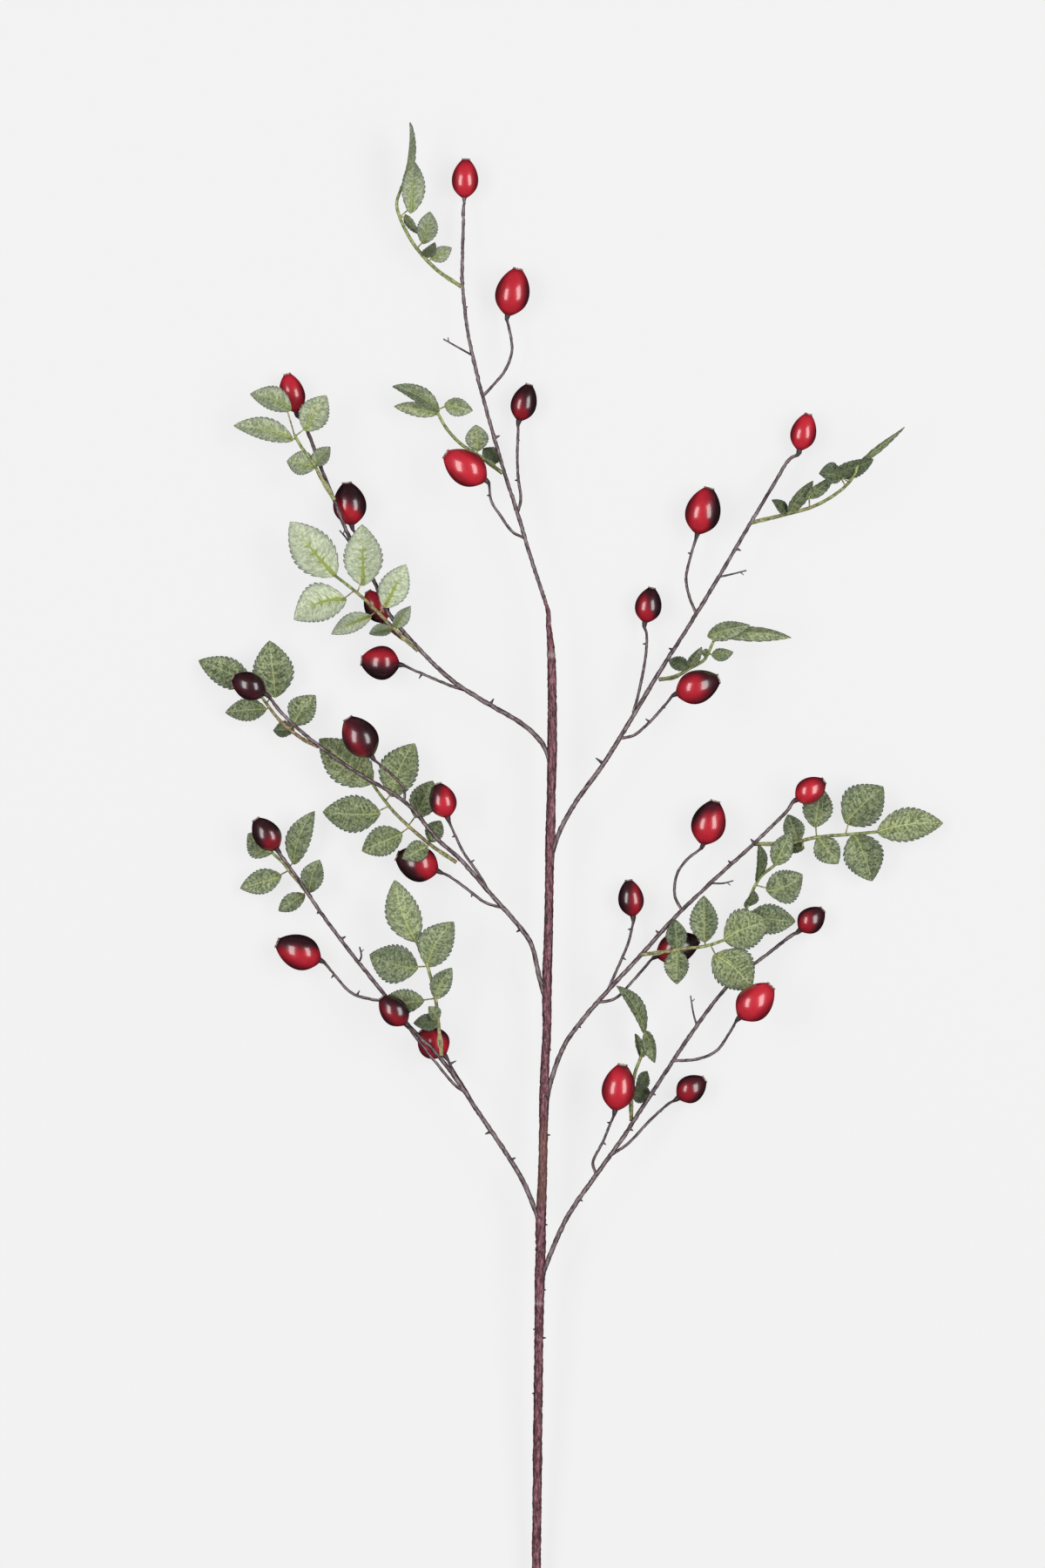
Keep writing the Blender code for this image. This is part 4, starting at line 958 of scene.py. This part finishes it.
def blade(bm, layers, base, tip, width, roll, bow, look):
    # one leaflet: the grid's columns lean forward like its side veins and end in teeth
    leafPlace, lookLayer, grain = layers
    sizes = leafSizes
    length = (tip - base).length
    teeth = sizes["smallTeeth"] if width < sizes["smallWidth"] else sizes["teeth"]
    perTooth = sizes["toothRows"]
    columns = teeth * perTooth
    halfRows = sizes["halfRows"]
    seed = Vector((base.x * 900, base.y * 900, roll))
    phase = random.uniform(0, math.tau)
    shadedSide = random.choice((-1.0, 1.0))

    def spot(i, j, point):
        t = i / columns
        w = (j - halfRows) / halfRows
        away = abs(w)
        lean = sizes["lean"] * math.sin(math.pi * t) * (1 - t * 0.4)
        onTooth = away > 0.99 and 2 <= i < columns
        if onTooth:
            lean += sizes["toothLean"] / teeth * (i % perTooth) / perTooth
        share = min(1.0, t + lean * away)
        reach = halfWidth(share) * w
        if onTooth:
            reach *= 1 + sizes["tooth"] * (sizes["toothShape"][i % perTooth] - 0.5)
        across = reach * width / 2 * mm + 4 * share * (1 - share) * bow * mm
        rise = sizes["fold"] * abs(reach) * width * mm
        rise -= sizes["arch"] * length * ((2 * share - 1) ** 2 - 0.5)
        rise += sizes["wave"] * mm * away**2 * math.sin(7 * share + phase + (2.0 if w > 0 else 0.0))
        rise += sizes["uneven"] * mm * noise.noise(Vector((share * 3, w * 1.5, 0)) + seed)
        rise += sizes["ridge"] * mm * away * math.cos(math.tau * sizes["veins"] * t)
        point[leafPlace] = (t, away, abs(reach) * width / 2)
        shade = leafColours["halfShade"] * smoothStep(-0.05, 0.25, w * shadedSide)
        point[lookLayer] = (look[0], min(1.0, look[1] + shade), look[2])
        point[grain] = (t * length / mm, w * width / 2, seed.x + seed.y)
        return Vector((share * length, across, rise - sizes["thickness"] / 2 * mm))

    before = set(bm.faces)
    closeSeams(bm, warpedGrid(bm, columns, halfRows * 2, spot))
    sheet = [face for face in bm.faces if face not in before]
    raised = bmesh.ops.extrude_face_region(bm, geom=sheet, use_keep_orig=True)["geom"]
    lifted = [v for v in raised if isinstance(v, bmesh.types.BMVert)]
    bmesh.ops.translate(bm, verts=lifted, vec=(0, 0, sizes["thickness"] * mm))
    for point in {v for face in sheet for v in face.verts}:  # the side below is always pale
        point[lookLayer] = (max(0.8, look[0]), look[1], look[2])
    faces = [face for face in bm.faces if face not in before]
    bmesh.ops.recalc_face_normals(bm, faces=faces)
    along = (tip - base).normalized()
    side = Vector((0, 0, 1)).cross(along).normalized()
    side = Matrix.Rotation(math.radians(roll), 3, along) @ side
    turn = Matrix((along, side, along.cross(side))).transposed().to_4x4()
    points = list({v for face in faces for v in face.verts})
    bmesh.ops.transform(bm, verts=points, matrix=Matrix.Translation(base) @ turn)


def stipules(bm, layers, rachis):
    # the two narrow wings along the foot of the leaf stalk
    leafPlace, lookLayer, grain = layers
    long, wide = leafSizes["stipule"]
    rows = leafSizes["stipuleRows"]
    half = leafSizes["stipuleHalf"]
    lengths = lengthsAlong(rachis)

    def spot(i, j, point):
        at = leafSizes["stipuleStart"] * mm + long * mm * i / rows
        k = min(range(len(lengths)), key=lambda n: abs(lengths[n] - at))
        ahead = (rachis[min(k + 1, len(rachis) - 1)] - rachis[max(k - 1, 0)]).normalized()
        side = Vector((0, 0, 1)).cross(ahead).normalized()
        w = (j - half) / half
        reach = wide / 2 * math.sin(math.pi * min(1.0, 0.12 + 0.88 * i / rows)) ** 0.6 * w
        point[leafPlace] = (i / rows, abs(w) * 0.8, abs(reach))
        point[lookLayer] = (0.5, 0.0, 1.0)
        point[grain] = (at / mm, reach, 0.0)
        return rachis[k] + side * reach * mm + Vector((0, 0, 0.3 + 0.3 * abs(reach))) * mm

    before = set(bm.faces)
    warpedGrid(bm, rows, half * 2, spot)
    sheet = [face for face in bm.faces if face not in before]
    bmesh.ops.solidify(bm, geom=sheet, thickness=leafSizes["stipuleThickness"] * mm)
    faces = [face for face in bm.faces if face not in before]
    bmesh.ops.recalc_face_normals(bm, faces=faces)


def leafPiece(name, layout, green, stalkGreen):
    bm = bmesh.new()
    layers = [bm.verts.layers.float_vector.new(layer) for layer in ("leafPlace", "look", "leafGrain")]
    rachis = smoothPath([place(*spot) for spot in layout["rachis"]], 1.0 * mm)
    lengths = lengthsAlong(rachis)
    pale, yellow, brown, darks = leafLook[name]

    def stalkPaint(point, i, a, b, along):
        point[layers[1]] = (brown * smoothStep(1.0, 0.3, along * mm / lengths[-1]), 0.0, 1.0)

    stalks = []
    for row, dark in zip(layout["leaflets"], darks):
        baseX, baseY, tipX, tipY, width, baseHeight, tipHeight, roll, bow = row
        base = place(baseX, baseY, baseHeight)
        tip = place(tipX, tipY, tipHeight)
        root = min(rachis, key=lambda spot: (spot - base).length)
        if (base - root).length < leafSizes["noStalk"] * mm:
            base = root - (tip - root).normalized() * leafSizes["sunk"] * mm
        else:
            stalks.append((root, base + (tip - base) * 0.12))
        deeper = min(1.0, max(0.0, dark + random.uniform(-0.04, 0.04)))
        look = (pale * random.uniform(0.85, 1.0), deeper, yellow * max(0.0, 1 - 1.5 * dark))
        blade(bm, layers, base, tip, width, roll, bow, look)
    stipules(bm, layers, rachis)
    leafFaces = set(bm.faces)
    thick, thin = leafSizes["rachis"]
    radii = [thick + (thin - thick) * length / lengths[-1] for length in lengths]
    tube(bm, rachis, radii, leafSizes["rachisSides"], stalkPaint, leafSizes["rachisRough"], 1.0)
    reach = leafSizes["leafletStalk"]
    for root, end in stalks:
        path = [root.lerp(end, i / 4) for i in range(5)]
        tube(bm, path, [reach] * 4 + [reach * 0.5], leafSizes["stalkSides"], stalkPaint)
    for face in bm.faces:
        if face not in leafFaces:
            face.material_index = 1
    finished(bm, "leafBlades_" + name, [green, stalkGreen], "leaf_" + name)


def plainMaterial(name, colour, roughness, glow=0.0):
    return newMaterial(name, {
        "Base Color": linear(colour), "Roughness": roughness,
        "Emission Color": (1.0, 1.0, 1.0, 1.0), "Emission Strength": glow,
    })[0]


# The stage is a pale board under two tall soft lamps, with the camera straight above.
stageSizes = {  # metres and degrees; a lamp is as deep, as wide and as bright as its three values
    "floor": 8.0, "floorDrop": 0.2 * mm, "floorGlow": 0.765, "room": 0.45,
    "lampAway": 3.0, "lampTilt": 41, "lampBack": 0.35,
    "lampLeft": (2.7, 1.2, 6.4), "lampRight": (3.0, 1.4, 6.0),
    "lens": 320, "sensor": 36, "above": 8.0, "farthest": 100,
}


def lamp(name, tilt):
    deep, wide, level = stageSizes[name]
    light = bpy.data.lights.new(name, "AREA")
    light.shape = "RECTANGLE"
    light.size = deep
    light.size_y = wide
    light.energy = level * math.pi * deep * wide
    obj = bpy.data.objects.new(name, light)
    away = stageSizes["lampAway"]
    across = away * math.sin(math.radians(tilt))
    obj.location = (across, stageSizes["lampBack"], away * math.cos(math.radians(tilt)))
    obj.rotation_euler = obj.location.to_track_quat("Z", "Y").to_euler()
    obj.visible_camera = False
    bpy.context.scene.collection.objects.link(obj)


def buildFloor():
    bm = bmesh.new()
    bmesh.ops.create_grid(bm, x_segments=1, y_segments=1, size=stageSizes["floor"] / 2)
    mesh = bpy.data.meshes.new("paleBoard")
    bm.to_mesh(mesh)
    bm.free()
    mesh.materials.append(plainMaterial("pale_board", "#505050", 1.0, stageSizes["floorGlow"]))
    floor = bpy.data.objects.new("paleBoard", mesh)
    floor.location.z = -stageSizes["floorDrop"]
    floor.visible_glossy = False
    floor.visible_diffuse = False
    bpy.context.scene.collection.objects.link(floor)


def lightRoom():
    world = bpy.data.worlds.new("softRoom")
    world.use_nodes = True
    background = world.node_tree.nodes["Background"]
    background.inputs[0].default_value = linear("#f0f0f0")
    background.inputs[1].default_value = stageSizes["room"]
    world.cycles_visibility.glossy = False
    bpy.context.scene.world = world


def setCamera():
    camera = bpy.data.cameras.new("photoCamera")
    camera.lens = stageSizes["lens"]
    camera.sensor_width = stageSizes["sensor"]
    camera.clip_end = stageSizes["farthest"]
    eye = bpy.data.objects.new("photoCamera", camera)
    eye.location = place(*photo["centre"], 0)
    eye.location.z = stageSizes["above"] + photo["plane"]
    bpy.context.scene.collection.objects.link(eye)
    bpy.context.scene.camera = eye
    bpy.context.scene.view_settings.view_transform = "Standard"
    bpy.context.scene.view_settings.look = "None"


shootBark = barkMaterial("shoot_bark")
mainStemPiece(barkMaterial("stem_bark"), plainMaterial("cut_wood", "#c9b08a", 0.7), shootBark)
for letter, shoot in shoots.items():
    shootPiece(letter, shoot, shootBark)
print("wood done")

skin = skinMaterial()
crown = crownMaterial()
for name, hip in hips.items():
    hipPiece(name, hip, skin, crown)
print("hips done")

green = leafMaterial()
stalkGreen = rachisMaterial()
for name, layout in leaves.items():
    leafPiece(name, layout, green, stalkGreen)
print("leaves done")

buildFloor()
lamp("lampRight", stageSizes["lampTilt"])
lamp("lampLeft", -stageSizes["lampTilt"])
lightRoom()
setCamera()
print("stage done")
